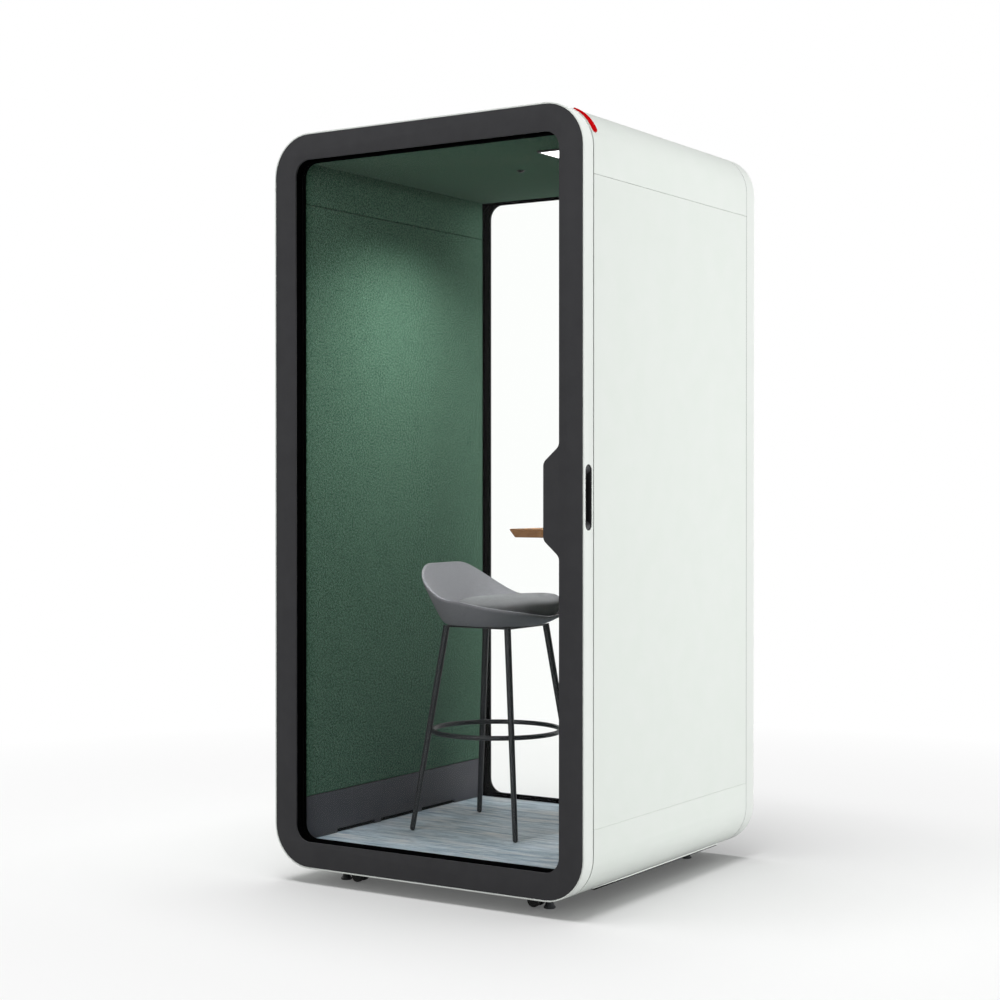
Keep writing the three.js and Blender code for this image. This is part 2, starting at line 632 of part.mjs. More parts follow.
const fan = groupAt(FAN_X, CABIN_Y, CEILING_Z + LINING + FIT);
const boxHalf = FAN_BOX / 2;
const fanBore = rod(FAN_R, -5, FAN_T + 5, 0, 0, 24);
const fanFrame = cut(block(-boxHalf, boxHalf, -boxHalf, boxHalf, 0, FAN_T), fanBore);
const struts = [0, 90].map((a) => {
  const strut = block(-FAN_R - 2, FAN_R + 2, -3, 3, FAN_T - STRUT_T, FAN_T);
  return strut.rotateZ(degToRad(a));
});
const spindleTop = FAN_T - 1;
const fanBearing = rod(4 + FIT, spindleTop - 7, spindleTop);
const fanBoss = rod(FAN_HUB + 2, FAN_T - STRUT_T - 1, FAN_T);
part("fan_frame", cut(join(fanFrame, ...struts, fanBoss), fanBearing), "black", fan);
const BLADE = FAN_R - FAN_HUB + 1;
const blades = Array.from({ length: 7 }, (_, i) => {
  const blade = new THREE.BoxGeometry(BLADE, 22, 1.6).rotateX(degToRad(38));
  blade.translate(FAN_R - 3 - BLADE / 2, 0, 16);
  return blade.rotateZ((2 * Math.PI * i) / 7);
});
const hub = rod(FAN_HUB, 4, FAN_T - STRUT_T - 1.4, 0, 0, 18);
part("fan_rotor", join(hub, rod(4, 30, spindleTop - FIT), ...blades), "black", fan);

const sensorProfile = [[0, 0], [5, 0.4], [8, 2], [9, 4], [12, 4.2], [12, 6.7], [0, 6.7]];
part("motion_sensor", turned(sensorProfile, 16), "black", groupAt(SENSOR_X, SENSOR_Y, CEILING_Z - 7));

// Table on the right wall
const TABLE_Z = TABLE_TOP - TABLE_T;
const tableSection = shapeOf([
  v2(WALL, TABLE_Z),
  v2(WALL, TABLE_TOP),
  v2(TABLE_EDGE, TABLE_TOP),
  v2(TABLE_EDGE, TABLE_TOP - TABLE_NOSE),
  v2(TABLE_EDGE + TABLE_BEVEL, TABLE_Z),
]);
part("table_top", alongY(tableSection, CABIN_Y - TABLE_L / 2, CABIN_Y + TABLE_L / 2), "oak");
const ARM_Z = TABLE_Z - FIT;
const bracketSection = shapeOf([
  v2(WALL, ARM_Z - BRACKET_DROP),
  v2(WALL, ARM_Z),
  v2(INNER_X - BRACKET_ARM, ARM_Z),
  v2(INNER_X - BRACKET_ARM, ARM_Z - BRACKET_T),
  v2(WALL - BRACKET_BRACE, ARM_Z - BRACKET_T),
  v2(WALL - BRACKET_T, ARM_Z - BRACKET_BRACE),
  v2(WALL - BRACKET_T, ARM_Z - BRACKET_DROP),
]);
for (const [name, side] of [["front", -1], ["rear", 1]]) {
  const y = CABIN_Y + (side * BRACKET_PITCH) / 2;
  const bracket = alongY(bracketSection, y - BRACKET_W / 2, y + BRACKET_W / 2);
  part(`table_bracket_${name}`, bracket, "steel");
}

// Twin-wheel castors and levelling feet
const wheelHalf = [[0, 22.5], [17, 22.5], [CASTOR_R, 20], [CASTOR_R, 8], [17.5, 6], [3, 6]];
const wheelSide = (side) => wheelHalf.map(([r, y]) => v2(r, side * y));
const wheelProfile = [...wheelSide(-1), ...wheelSide(1).reverse()];
const footProfile = [
  [0, 0],
  [FOOT_R - 2, 0],
  [FOOT_R, 2],
  [FOOT_R, 6],
  [FOOT_R - 3, 8.5],
  [STEM_R + 4, 22],
  [STEM_R, 24],
  [STEM_R, FOOT_TOP],
  [0, FOOT_TOP],
];
const hood = outline([
  [TRAIL + 9, AXLE_Z - 8, 8],
  [TRAIL + 9, 38, 6],
  [-9, 38, 4],
  [-9, 30, 4],
  [TRAIL - 9, AXLE_Z - 8, 8],
], 30);
for (const [name, sx, sy] of corners) {
  const castor = groupAt(sx * CASTOR_X, sy * CASTOR_Y, 0);
  const collar = rod(STEM_R + 3, BASE_Z - 4, BASE_Z - FIT);
  const fork = join(alongY(shapeOf(hood), -5, 5), collar, rod(STEM_R, 33, STEM_TOP));
  const bore = alongY(shapeOf(disc(3.4)), -10, 10).translate(TRAIL, 0, AXLE_Z);
  part(`castor_fork_${name}`, cut(fork, bore), "black", castor);
  const wheel = part(`castor_wheel_${name}`, new THREE.LatheGeometry(wheelProfile, 18), "rubber", castor);
  wheel.position.set(TRAIL, 0, AXLE_Z);
  part(`levelling_foot_${name}`, turned(footProfile, 14), "steel", groupAt(sx * FOOT_X, sy * FOOT_Y, 0));
}

// Stool
const stool = groupAt(STOOL_X, STOOL_Y, FLOOR_Z);
const legPath = v3(LEG_HEAD - LEG_FOOT, LEG_HEAD - LEG_FOOT, LEG_TOP - FIT);
const legLength = legPath.length();
const legProfile = [
  [0, 0],
  [LEG_R0 - 3, 1],
  [LEG_R0 - 0.6, 4],
  [LEG_R0, 9],
  [LEG_R1, legLength],
  [0, legLength],
];
const legs = corners.map(([, sx, sy]) => {
  const axis = v3(sx * legPath.x, sy * legPath.y, legPath.z).normalize();
  const leg = turned(legProfile, 10);
  leg.applyQuaternion(new THREE.Quaternion().setFromUnitVectors(v3(0, 0, 1), axis));
  return leg.translate(sx * LEG_FOOT, sy * LEG_FOOT, FIT + 0.1);
});
const footRing = new THREE.TorusGeometry(RING_R, RING_TUBE, 8, 40).translate(0, 0, RING_Z);
const plateShape = shapeOf(outline(rect(PLATE_HALF, -PLATE_HALF, PLATE_HALF, PLATE_R), 20));
const seatPlate = alongZ(plateShape, LEG_TOP - 0.6, SEAT_BASE - 0.4);
part("stool_frame", join(seatPlate, ...legs, footRing), "steel", stool);

// Seat plan: a rounded square; the rim rises from the front along the sides to the back.
const planRadius = (phi) => {
  const c = Math.abs(Math.cos(phi)) / SEAT_DEPTH;
  const s = Math.abs(Math.sin(phi)) / SEAT_WIDTH;
  return (c ** SEAT_SQUARE + s ** SEAT_SQUARE) ** (-1 / SEAT_SQUARE);
};
const rimHeight = (phi) => {
  const off = Math.abs(Math.atan2(Math.sin(phi), Math.cos(phi))) * THREE.MathUtils.RAD2DEG;
  const side = Math.min(1, (Math.hypot(off, 12) - 12) / 83);
  return lerp(RIM_FRONT, RIM_SIDE, side) + (RIM_BACK - RIM_SIDE) * smoothstep(off, 98, 158);
};
const SEAT_COUNT = 36;
const seatRing = (scaleAt, heightAt) =>
  Array.from({ length: SEAT_COUNT }, (_, i) => {
    const phi = (2 * Math.PI * i) / SEAT_COUNT;
    const r = planRadius(phi) * scaleAt(phi);
    return v3(r * Math.cos(phi), r * Math.sin(phi), heightAt(phi));
  });
const BOWL_Z = SEAT_BASE + BOWL_T;
const innerHeight = (phi, scale) => {
  const t = clamp((scale - BOWL_SHARE) / (RIM_SHARE - BOWL_SHARE), 0, 1);
  return BOWL_Z + (rimHeight(phi) - RIM_DROP - BOWL_Z) * t;
};
const flat = (scale, z) => seatRing(() => scale, () => z);
const outerRing = (t) =>
  seatRing(
    () => 0.7 + 0.3 * t ** 0.85,
    (phi) => lerp(SEAT_BASE + 5, rimHeight(phi) - RIM_DROP, t),
  );
const rimRing = (scale, drop) => seatRing(() => scale, (phi) => rimHeight(phi) - drop);
const innerRing = (scale) => seatRing(() => scale, (phi) => innerHeight(phi, scale));
const shellRings = [
  flat(0.6, SEAT_BASE),
  flat(0.66, SEAT_BASE + 1.2),
  ...[0, 0.2, 0.4, 0.6, 0.8, 1].map(outerRing),
  rimRing(0.992, 3),
  rimRing(0.978, 0.5),
  rimRing(0.958, 0.5),
  rimRing(0.945, 3),
  ...[1, 0.68, 0.34, 0].map((t) => innerRing(lerp(BOWL_SHARE, RIM_SHARE, t))),
  flat(0.45, BOWL_Z),
];
part("stool_shell", loft(shellRings), "tub", stool);

const EDGE_Z = CUSHION_TOP - CUSHION_CROWN;
const cushionEdge = (phi) => {
  const rise = rimHeight(phi) - RIM_DROP - BOWL_Z;
  const t = Math.min(1, (EDGE_Z - 8 - BOWL_Z) / rise);
  const inside = lerp(BOWL_SHARE, RIM_SHARE, t) - 0.02;
  const overFront = 1 - smoothstep(rimHeight(phi), RIM_FRONT + 4, RIM_FRONT + 22);
  return lerp(inside, CUSHION_LIP, overFront);
};
const restHeight = (phi, scale) =>
  scale > RIM_SHARE - 0.04 ? rimHeight(phi) + 1 : innerHeight(phi, scale + 0.012) + 1;
const underRing = (k) =>
  seatRing(
    (phi) => k * cushionEdge(phi),
    (phi) => restHeight(phi, k * cushionEdge(phi)),
  );
const overRing = (k, z) => seatRing((phi) => k * cushionEdge(phi), () => z);
const cushionRings = [
  ...[0.3, 0.7, 0.85, 0.97].map(underRing),
  overRing(1, EDGE_Z),
  overRing(0.99, EDGE_Z + 0.3 * CUSHION_CROWN),
  overRing(0.95, EDGE_Z + 0.55 * CUSHION_CROWN),
  overRing(0.86, EDGE_Z + 0.77 * CUSHION_CROWN),
  overRing(0.65, EDGE_Z + 0.94 * CUSHION_CROWN),
  overRing(0.3, CUSHION_TOP),
];
part("stool_cushion", loft(cushionRings), "cushion", stool);

export default pod;
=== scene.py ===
"""Looks of the acoustic office pod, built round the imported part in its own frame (metres, +Z up).

The door faces -Y with its handle edge at +X; the stool faces the table on the +X wall.
"""

import json
import logging
import math
from dataclasses import dataclass, field, replace
from enum import Enum
from typing import Callable, Iterable, Optional, Sequence, Union

import bmesh
import bpy
from mathutils import Matrix, Vector

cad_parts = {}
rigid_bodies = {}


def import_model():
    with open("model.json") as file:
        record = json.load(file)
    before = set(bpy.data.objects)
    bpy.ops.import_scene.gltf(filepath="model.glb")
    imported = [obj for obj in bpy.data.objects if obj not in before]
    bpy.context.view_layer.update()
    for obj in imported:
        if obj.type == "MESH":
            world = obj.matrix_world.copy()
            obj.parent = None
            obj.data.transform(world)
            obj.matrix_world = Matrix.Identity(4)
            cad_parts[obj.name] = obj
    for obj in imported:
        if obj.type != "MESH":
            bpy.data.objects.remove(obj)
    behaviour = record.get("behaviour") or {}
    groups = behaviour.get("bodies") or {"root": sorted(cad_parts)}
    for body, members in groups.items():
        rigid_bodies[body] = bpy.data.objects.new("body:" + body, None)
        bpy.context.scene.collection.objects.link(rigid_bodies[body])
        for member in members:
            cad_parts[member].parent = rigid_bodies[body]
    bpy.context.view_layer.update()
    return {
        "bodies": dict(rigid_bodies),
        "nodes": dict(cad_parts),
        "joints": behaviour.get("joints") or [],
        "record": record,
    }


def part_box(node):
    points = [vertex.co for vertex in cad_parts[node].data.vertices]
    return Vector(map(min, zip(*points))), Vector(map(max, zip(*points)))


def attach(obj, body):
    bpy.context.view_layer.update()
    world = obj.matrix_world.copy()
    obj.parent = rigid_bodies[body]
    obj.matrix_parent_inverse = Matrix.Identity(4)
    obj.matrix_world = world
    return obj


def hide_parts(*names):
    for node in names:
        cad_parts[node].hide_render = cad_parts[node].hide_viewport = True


LOG = logging.getLogger("pod")
MM = 0.001
CRISP = math.radians(38)
SAME_POINT = 1e-6
CORNERS = {
    "front_left": (-1, -1),
    "front_right": (1, -1),
    "rear_left": (-1, 1),
    "rear_right": (1, 1),
}

Colour = tuple[float, float, float]
Point = tuple[float, float, float]
Span = tuple[float, float]
Profile = Sequence[tuple[float, float]]
Socket = bpy.types.NodeSocket
Node = bpy.types.Node
Tree = bpy.types.NodeTree
Piece = bpy.types.Object
Mesh = bmesh.types.BMesh
Value = Union[float, Sequence[float], Socket]
Ring = Callable[[float], Vector]


def smoothstep(low: float, high: float, x: float) -> float:
    """Smooth rise from 0 at low to 1 at high."""
    t = min(1.0, max(0.0, (x - low) / (high - low)))
    return t * t * (3 - 2 * t)


def lerp(a: float, b: float, t: float) -> float:
    """Straight mix of a and b."""
    return a + (b - a) * t


def srgb(*screen: float) -> tuple[float, ...]:
    """Linear colour with full alpha from 0 to 255 screen values.

    Args:
        screen: red, green and blue screen values.

    Returns:
        The linear red, green, blue and alpha.
    """

    def linear(c: float) -> float:
        """One screen value as a linear one."""
        c /= 255
        return c / 12.92 if c <= 0.04045 else ((c + 0.055) / 1.055) ** 2.4

    return (*map(linear, screen), 1.0)


class Graph:
    """Short calls for the nodes of one material or node group."""

    def __init__(self, tree: Tree) -> None:
        """Starts on a node tree."""
        self.tree = tree

    def node(self, kind: str, inputs: Optional[dict] = None, **props: object) -> Node:
        """Adds a node.

        Args:
            kind: the node's type name.
            inputs: a value or a socket to link for each input, by name or index.
            props: the node's own settings.

        Returns:
            The new node.
        """
        made = self.tree.nodes.new(kind)
        for key, value in props.items():
            setattr(made, key, value)
        self.fill(made, inputs or {})
        return made

    def fill(self, node: Node, inputs: dict) -> None:
        """Links inputs of a node to other sockets, or sets their values.

        Args:
            node: the node.
            inputs: a value or a socket for each input, by name or index.
        """
        for key, value in inputs.items():
            if isinstance(value, Socket):
                self.tree.links.new(value, node.inputs[key])
            else:
                node.inputs[key].default_value = value

    def math(self, kind: str, a: Value, b: Value = 0.0) -> Socket:
        """Result of a math node on a and b."""
        return self.node("ShaderNodeMath", {0: a, 1: b}, operation=kind).outputs[0]

    def times(self, a: Value, b: Value) -> Socket:
        """Product of a and b."""
        return self.math("MULTIPLY", a, b)

    def weigh(self, a: Value, share_a: float, b: Value, share_b: float) -> Socket:
        """Sum of a and b, each by its own share."""
        return self.math("ADD", self.times(a, share_a), self.times(b, share_b))

    def blend(self, share: Value, a: Value, b: Value) -> Socket:
        """Mix of two colours."""
        return self.node("ShaderNodeMix", {0: share, 6: a, 7: b}, data_type="RGBA").outputs[2]

    def remap(
        self, value: Value, low: float, high: float, out_low: float = 0.0, out_high: float = 1.0
    ) -> Socket:
        """Value moved from one range to another, clamped."""
        inputs = {0: value, 1: low, 2: high, 3: out_low, 4: out_high}
        return self.node("ShaderNodeMapRange", inputs).outputs[0]

    def noise(self, at: Value, scale: Value, detail: float = 3.0, rough: float = 0.55) -> Socket:
        """Value of a noise texture."""
        inputs = {"Vector": at, "Scale": scale, "Detail": detail, "Roughness": rough}
        return self.node("ShaderNodeTexNoise", inputs).outputs[0]

    def place(self, scale: Point = (1, 1, 1), move: Point = (0, 0, 0)) -> Socket:
        """Object coordinates, scaled and moved."""
        inputs = {"Vector": self.coords(), "Scale": scale, "Location": move}
        return self.node("ShaderNodeMapping", inputs).outputs[0]

    def coords(self) -> Socket:
        """Object coordinates."""
        return self.node("ShaderNodeTexCoord").outputs["Object"]

    def effect(
        self, name: str, pitch: float, scale: Point = (1, 1, 1), move: Point = (0, 0, 0)
    ) -> bpy.types.NodeOutputs:
        """Outputs of a shared effect, placed with its own values."""
        inputs = {0: self.place(scale, move), 1: pitch}
        return self.node("ShaderNodeGroup", inputs, node_tree=Effects.tree(name)).outputs

    def bump(self, height: Socket, strength: float, depth: float) -> Socket:
        """Normal of a bump from a height."""
        inputs = {"Strength": strength, "Distance": depth, "Height": height}
        return self.node("ShaderNodeBump", inputs).outputs[0]


class Effects:
    """Shared effects as node groups: grain, weave, streaks and handling marks."""

    @classmethod
    def tree(cls, name: str) -> Tree:
        """The group of that name, built on first use.

        Args:
            name: one of moulded_grain, cloth_weave, wood_streaks and handling_marks.

        Returns:
            The node group.
        """
        found = bpy.data.node_groups.get(name)
        if found is None:
            found = bpy.data.node_groups.new(name, "ShaderNodeTree")
            getattr(cls, name)(found)
        return found

    @staticmethod
    def sockets(tree: Tree, pitch: str, *outputs: str) -> tuple[Graph, Socket, Socket, Node]:
        """Makes a group's outside sockets.

        Args:
            tree: the group.
            pitch: name of the input that says how fine the effect is.
            outputs: names of the value outputs.

        Returns:
            The graph, the place input, the pitch input and the output node.
        """
        sides = [("Vector", "INPUT", "NodeSocketVector"), (pitch, "INPUT", "NodeSocketFloat")]
        sides += [(name, "OUTPUT", "NodeSocketFloat") for name in outputs]
        for name, side, kind in sides:
            tree.interface.new_socket(name=name, in_out=side, socket_type=kind)
        g = Graph(tree)
        into = g.node("NodeGroupInput").outputs
        return g, into["Vector"], into[pitch], g.node("NodeGroupOutput")

    @classmethod
    def moulded_grain(cls, tree: Tree) -> None:
        """Fine pebbled surface of paint, laminate and moulded plastic.

        Args:
            tree: the empty group.
        """
        g, at, scale, out = cls.sockets(tree, "Scale", "Height", "Mottle")
        cells = {"Vector": at, "Scale": scale}
        pebbles = g.node("ShaderNodeTexVoronoi", cells, feature="SMOOTH_F1").outputs["Distance"]
        fine = g.noise(at, g.times(scale, 2.3), detail=2.0)
        inputs = {"Height": g.weigh(pebbles, 0.6, fine, 0.4)}
        inputs["Mottle"] = g.noise(at, g.times(scale, 0.012), detail=4.0)
        g.fill(out, inputs)

    @classmethod
    def cloth_weave(cls, tree: Tree) -> None:
        """Spun yarns over and under each other, with heather specks and soft patches.

        Args:
            tree: the empty group.
        """
        g, at, yarns, out = cls.sockets(tree, "Yarns", "Height", "Heather", "Patches")
        settings = {"Vector": at, "Scale": yarns, "Distortion": 1.6, "Detail": 1.0}
        waves = []
        for axis in "XYZ":
            wave = g.node("ShaderNodeTexWave", settings, bands_direction=axis)
            waves.append(wave.outputs["Fac"])
        crossing = g.math("MAXIMUM", g.math("MAXIMUM", waves[0], waves[1]), waves[2])
        fuzz = g.noise(at, g.times(yarns, 9.0), detail=3.0, rough=0.7)
        inputs = {"Height": g.weigh(crossing, 0.5, fuzz, 0.5)}
        inputs["Heather"] = g.noise(at, g.times(yarns, 0.9), detail=5.0, rough=0.72)
        inputs["Patches"] = g.noise(at, g.times(yarns, 0.16), detail=3.0, rough=0.6)
        g.fill(out, inputs)

    @classmethod
    def wood_streaks(cls, tree: Tree) -> None:
        """Long fibres: broad bands, fine pores and single dark lines along the stretched axis.

        Args:
            tree: the empty group.
        """
        g, at, scale, out = cls.sockets(tree, "Scale", "Bands", "Pores", "Lines")
        lines = g.noise(at, g.times(scale, 3.7), detail=2.0, rough=0.4)
        inputs = {"Bands": g.noise(at, scale, detail=5.0, rough=0.6)}
        inputs["Pores"] = g.noise(at, g.times(scale, 9.0), detail=4.0, rough=0.7)
        inputs["Lines"] = g.remap(lines, 0.56, 0.72)
        g.fill(out, inputs)

    @classmethod
    def handling_marks(cls, tree: Tree) -> None:
        """Faint wiped patches that change the gloss of a used surface.

        Args:
            tree: the empty group.
        """
        g, at, scale, out = cls.sockets(tree, "Scale", "Gloss")
        wiped = g.noise(at, scale, detail=6.0, rough=0.65)
        g.fill(out, {"Gloss": g.remap(wiped, 0.35, 0.7)})


@dataclass(frozen=True)
class Finish:
    """A surface finish: the material's name, the record's slot and two tones of one colour."""

    name: str
    slot: str
    tone: Colour
    tone_b: Colour

    def material(self) -> bpy.types.Material:
        """The finish's material, built on first use.

        Returns:
            The material.
        """
        found = bpy.data.materials.get(self.name)
        if found is None:
            found = bpy.data.materials.new(self.name)
            found.use_nodes = True
            found.diffuse_color = srgb(*self.tone)
            g = Graph(found.node_tree)
            g.fill(found.node_tree.nodes["Principled BSDF"], self.shade(g))
        return found

    def mixed(self, g: Graph, share: Value) -> Socket:
        """Mix of the two tones."""
        return g.blend(share, srgb(*self.tone), srgb(*self.tone_b))

    def shade(self, g: Graph) -> dict[str, Value]:
        """What goes into the shader's inputs."""
        raise NotImplementedError


@dataclass(frozen=True)
class Coating(Finish):
    """Paint, laminate or moulded plastic with a fine grain."""

    roughness: float = 0.4
    swing: float = 0.06
    grain: float = 900.0
    depth: float = 0.00012
    metallic: float = 0.0
    gloss: float = 0.5
    marks: float = 6.0

    def shade(self, g: Graph) -> dict[str, Value]:
        """Two close tones, gloss that changes with handling, and a pebbled bump.

        Args:
            g: the material's graph.

        Returns:
            Values and sockets for the shader's inputs.
        """
        grain = g.effect("moulded_grain", self.grain)
        marks = g.effect("handling_marks", self.marks)
        low, high = self.roughness - self.swing, self.roughness + self.swing
        return {
            "Base Color": self.mixed(g, g.remap(grain["Mottle"], 0.35, 0.65)),
            "Roughness": g.remap(marks["Gloss"], 0.0, 1.0, low, high),
            "Normal": g.bump(grain["Height"], 0.5, self.depth),
            "Metallic": self.metallic,
            "Specular IOR Level": self.gloss,
        }


@dataclass(frozen=True)
class Cloth(Finish):
    """Felt or woven upholstery: heather colour, sheen and a weave in the normals."""

    yarns: float = 180.0
    depth: float = 0.0006
    contrast: float = 1.0
    patchy: float = 0.1
    speck: float = 0.16
    sheen: float = 0.04
    gloss: float = 0.08

    def shade(self, g: Graph) -> dict[str, Value]:
        """Mixes the two yarn tones by heather specks and soft patches.

        Args:
            g: the material's graph.

        Returns:
            Values and sockets for the shader's inputs.
        """
        weave = g.effect("cloth_weave", self.yarns)
        half = self.speck / self.contrast
        specks = g.remap(weave["Heather"], 0.5 - half, 0.5 + half)
        patches = g.remap(weave["Patches"], 0.3, 0.7)
        return {
            "Base Color": self.mixed(g, g.weigh(specks, 1 - self.patchy, patches, self.patchy)),
            "Roughness": g.remap(weave["Height"], 0.2, 0.9, 0.98, 0.82),
            "Normal": g.bump(weave["Height"], 0.6, self.depth),
            "Sheen Weight": self.sheen,
            "Sheen Roughness": 0.5,
            "Specular IOR Level": self.gloss,
        }


@dataclass(frozen=True)
class Timber(Finish):
    """Oiled oak with its grain along Y."""

    pore: Colour = (92, 60, 34)
    fibres: float = 42.0
    stretch: Point = (1.0, 0.07, 1.0)

    def shade(self, g: Graph) -> dict[str, Value]:
        """Bands, fine pores and dark lines along the board.

        Args:
            g: the material's graph.

        Returns:
            Values and sockets for the shader's inputs.
        """
        streaks = g.effect("wood_streaks", self.fibres, self.stretch)
        colour = self.mixed(g, g.remap(streaks["Bands"], 0.32, 0.68))
        pores = g.remap(streaks["Pores"], 0.55, 0.75, 0.0, 0.55)
        for share in (pores, g.times(streaks["Lines"], 0.35)):
            colour = g.blend(share, colour, srgb(*self.pore))
        return {
            "Base Color": colour,
            "Roughness": g.remap(streaks["Pores"], 0.3, 0.7, 0.38, 0.56),
            "Normal": g.bump(streaks["Pores"], 0.35, 0.0003),
        }


@dataclass(frozen=True)
class PlankFloor(Finish):
    """Streaky blue-grey floor covering in planks that run across the cabin."""

    pale: Colour = (196, 192, 187)
    dark: Colour = (84, 95, 105)
    plank: float = 0.183
    joint: float = 0.012
    first_joint: float = 0.62
    fibres: float = 62.0
    stretch: Point = (0.13, 1.0, 1.0)
    cloud: float = 11.0
    cloud_stretch: Point = (0.3, 1.0, 1.0)
    cloud_move: Point = (3.1, 0.4, 0.0)
    gloss: float = 0.1

    def shade(self, g: Graph) -> dict[str, Value]:
        """Short streaks along X, a tone per plank and a fine joint between planks.

        Args:
            g: the material's graph.

        Returns:
            Values and sockets for the shader's inputs.
        """
        streaks = g.effect("wood_streaks", self.fibres, self.stretch)
        clouds = g.effect("wood_streaks", self.cloud, self.cloud_stretch, self.cloud_move)
        moved = g.place(move=(0, self.first_joint, 0))
        across = g.node("ShaderNodeSeparateXYZ", {0: moved}).outputs["Y"]
        count = g.math("DIVIDE", across, self.plank)
        number = {"W": g.math("FLOOR", count)}
        tone = g.node("ShaderNodeTexWhiteNoise", number, noise_dimensions="1D").outputs["Value"]
        bands = g.remap(streaks["Bands"], 0.38, 0.62)
        pale = g.times(g.remap(clouds["Bands"], 0.45, 0.62, 0.0, 0.8), bands)
        seam = g.remap(g.math("PINGPONG", count, 0.5), 0.0, self.joint, 1.0, 0.0)
        colour = g.blend(pale, self.mixed(g, g.weigh(bands, 0.75, tone, 0.25)), srgb(*self.pale))
        for share in (g.times(streaks["Lines"], 0.55), g.times(seam, 0.6)):
            colour = g.blend(share, colour, srgb(*self.dark))
        return {
            "Base Color": colour,
            "Roughness": g.remap(streaks["Pores"], 0.3, 0.7, 0.42, 0.58),
            "Normal": g.bump(g.math("SUBTRACT", streaks["Pores"], seam), 0.25, 0.0004),
            "Specular IOR Level": self.gloss,
        }


@dataclass(frozen=True)
class Glazing(Finish):
    """Clear laminated glass with little reflection."""

    index: float = 1.12
    marks: float = 3.0
    haze: float = 0.012

    def shade(self, g: Graph) -> dict[str, Value]:
        """Clear transmission, with faint marks in the gloss.

        Args:
            g: the material's graph.

        Returns:
            Values and sockets for the shader's inputs.
        """
        marks = g.effect("handling_marks", self.marks)
        return {
            "Base Color": srgb(*self.tone),
            "Transmission Weight": 1.0,
            "IOR": self.index,
            "Roughness": g.remap(marks["Gloss"], 0.0, 1.0, 0.0, self.haze),
        }


@dataclass(frozen=True)
class Glow(Finish):
    """A lit diffuser."""

    strength: float = 1.0
    gloss: float = 0.1
    marks: float = 14.0

    def shade(self, g: Graph) -> dict[str, Value]:
        """Light that fades a little over the diffuser.

        Args:
            g: the material's graph.

        Returns:
            Values and sockets for the shader's inputs.
        """
        marks = g.effect("handling_marks", self.marks)
        colour = self.mixed(g, marks["Gloss"])
        return {
            "Base Color": colour,
            "Emission Color": colour,
            "Emission Strength": self.strength,
            "Specular IOR Level": self.gloss,
            "Roughness": g.remap(marks["Gloss"], 0.0, 1.0, 0.28, 0.4),
        }


class Palette:
    """Every finish of the pod."""

    WHITE = Coating(
        "white_powder_coat", "white_shell",
        (236, 241, 236), (234, 240, 234), 0.5, 0.03, gloss=0.12,
    )
    FRAME = Coating(
        "white_frame_coat", "white_frame", (236, 240, 236), (234, 239, 234), 0.5, 0.03, gloss=0.12
    )
    FACE = Coating(
        "charcoal_laminate", "dark_face",
        (62, 62, 64), (59, 59, 61), 0.6, 0.04, 1400.0, gloss=0.15,
    )
    BOARD = Coating("charcoal_board", "dark_board", (60, 60, 62), (52, 52, 54), 0.6)
    REVEAL = Coating(
        "black_reveal_film", "black_reveal", (6, 6, 7), (3, 3, 3), 0.8, depth=0.00004, gloss=0.0
    )
    # black of the glazing beads, also used for the strip of painted shade under the base's hem
    BEAD_AND_SHADE = Coating(
        "black_bead_and_painted_shade", "black_rubber",
        (7, 7, 8), (4, 4, 4), 0.8, 0.08, 500.0, 0.0002, gloss=0.02,
    )
    GLASS = Glazing("clear_laminated_glass", "clear_glass", (254, 255, 254), (254, 255, 254))
    FELT = Cloth(
        "green_heather_felt", "green_felt",
        (44, 72, 57), (98, 133, 113), yarns=195.0, contrast=1.5,
    )
    CORE = Coating(
        "acoustic_core_foam", "acoustic_core",
        (78, 80, 82), (66, 68, 70), 0.95, 0.04, 260.0, 0.0012,
    )
    # painted shade: the deck board shows only through the skirting's vent slots, so it is made
    # near-black to stand for the shade inside them
    DECK_SHADE = Coating(
        "deck_board_painted_shade", "deck_board",
        (18, 18, 19), (24, 24, 25), 0.85, 0.08, 340.0, 0.0005, gloss=0.1,
    )
    FLOOR = PlankFloor("streaky_floor_covering", "floor_covering", (121, 138, 151), (187, 199, 207))
    SKIRT = Coating(
        "skirting_laminate", "skirting", (78, 78, 84), (74, 75, 80), 0.55, 0.05, 1200.0, gloss=0.2
    )
    RUBBER = Coating(
        "black_rubber", "black_rubber", (24, 24, 26), (34, 34, 35), 0.8, 0.1, 500.0, 0.0004
    )
    PLASTIC = Coating(
        "black_moulded_plastic", "black_plastic",
        (14, 14, 15), (20, 20, 22), 0.5, 0.1, 800.0, 0.0003,
    )
    # painted highlight: the pocket's ends are the same black plastic, given a light grey tone on
    # their slopes where light falls
    SCOOP_HIGHLIGHT = Coating(
        "black_plastic_painted_highlight", "black_plastic",
        (112, 113, 115), (104, 105, 107), 0.6, 0.1, 800.0, gloss=0.2,
    )
    STEEL = Coating(
        "dark_powder_coated_steel", "dark_steel",
        (40, 42, 45), (47, 49, 52), 0.45, 0.08, 1100.0, 0.0002, 0.2,
    )
    OAK = Timber("oiled_oak", "oak", (156, 112, 68), (130, 90, 53))
    RED = Glow("status_red_diffuser", "status_red", (166, 8, 12), (158, 7, 11), 0.42, gloss=0.0)
    LAMP = Glow("lamp_diffuser_white", "lamp_white", (255, 255, 255), (248, 250, 252), 3.0)
    TUB = Cloth(
        "grey_wool_upholstery", "grey_upholstery", (127, 127, 132), (156, 156, 160), 260.0, 0.0004
    )
    CUSHION = Cloth(
        "grey_wool_cushion", "grey_cushion", (107, 108, 110), (135, 136, 138), 260.0, 0.0004
    )


class Body(str, Enum):
    """Bodies of the part that carry pieces which stand for no node."""

    POD = "pod"
    STOOL = "stool"


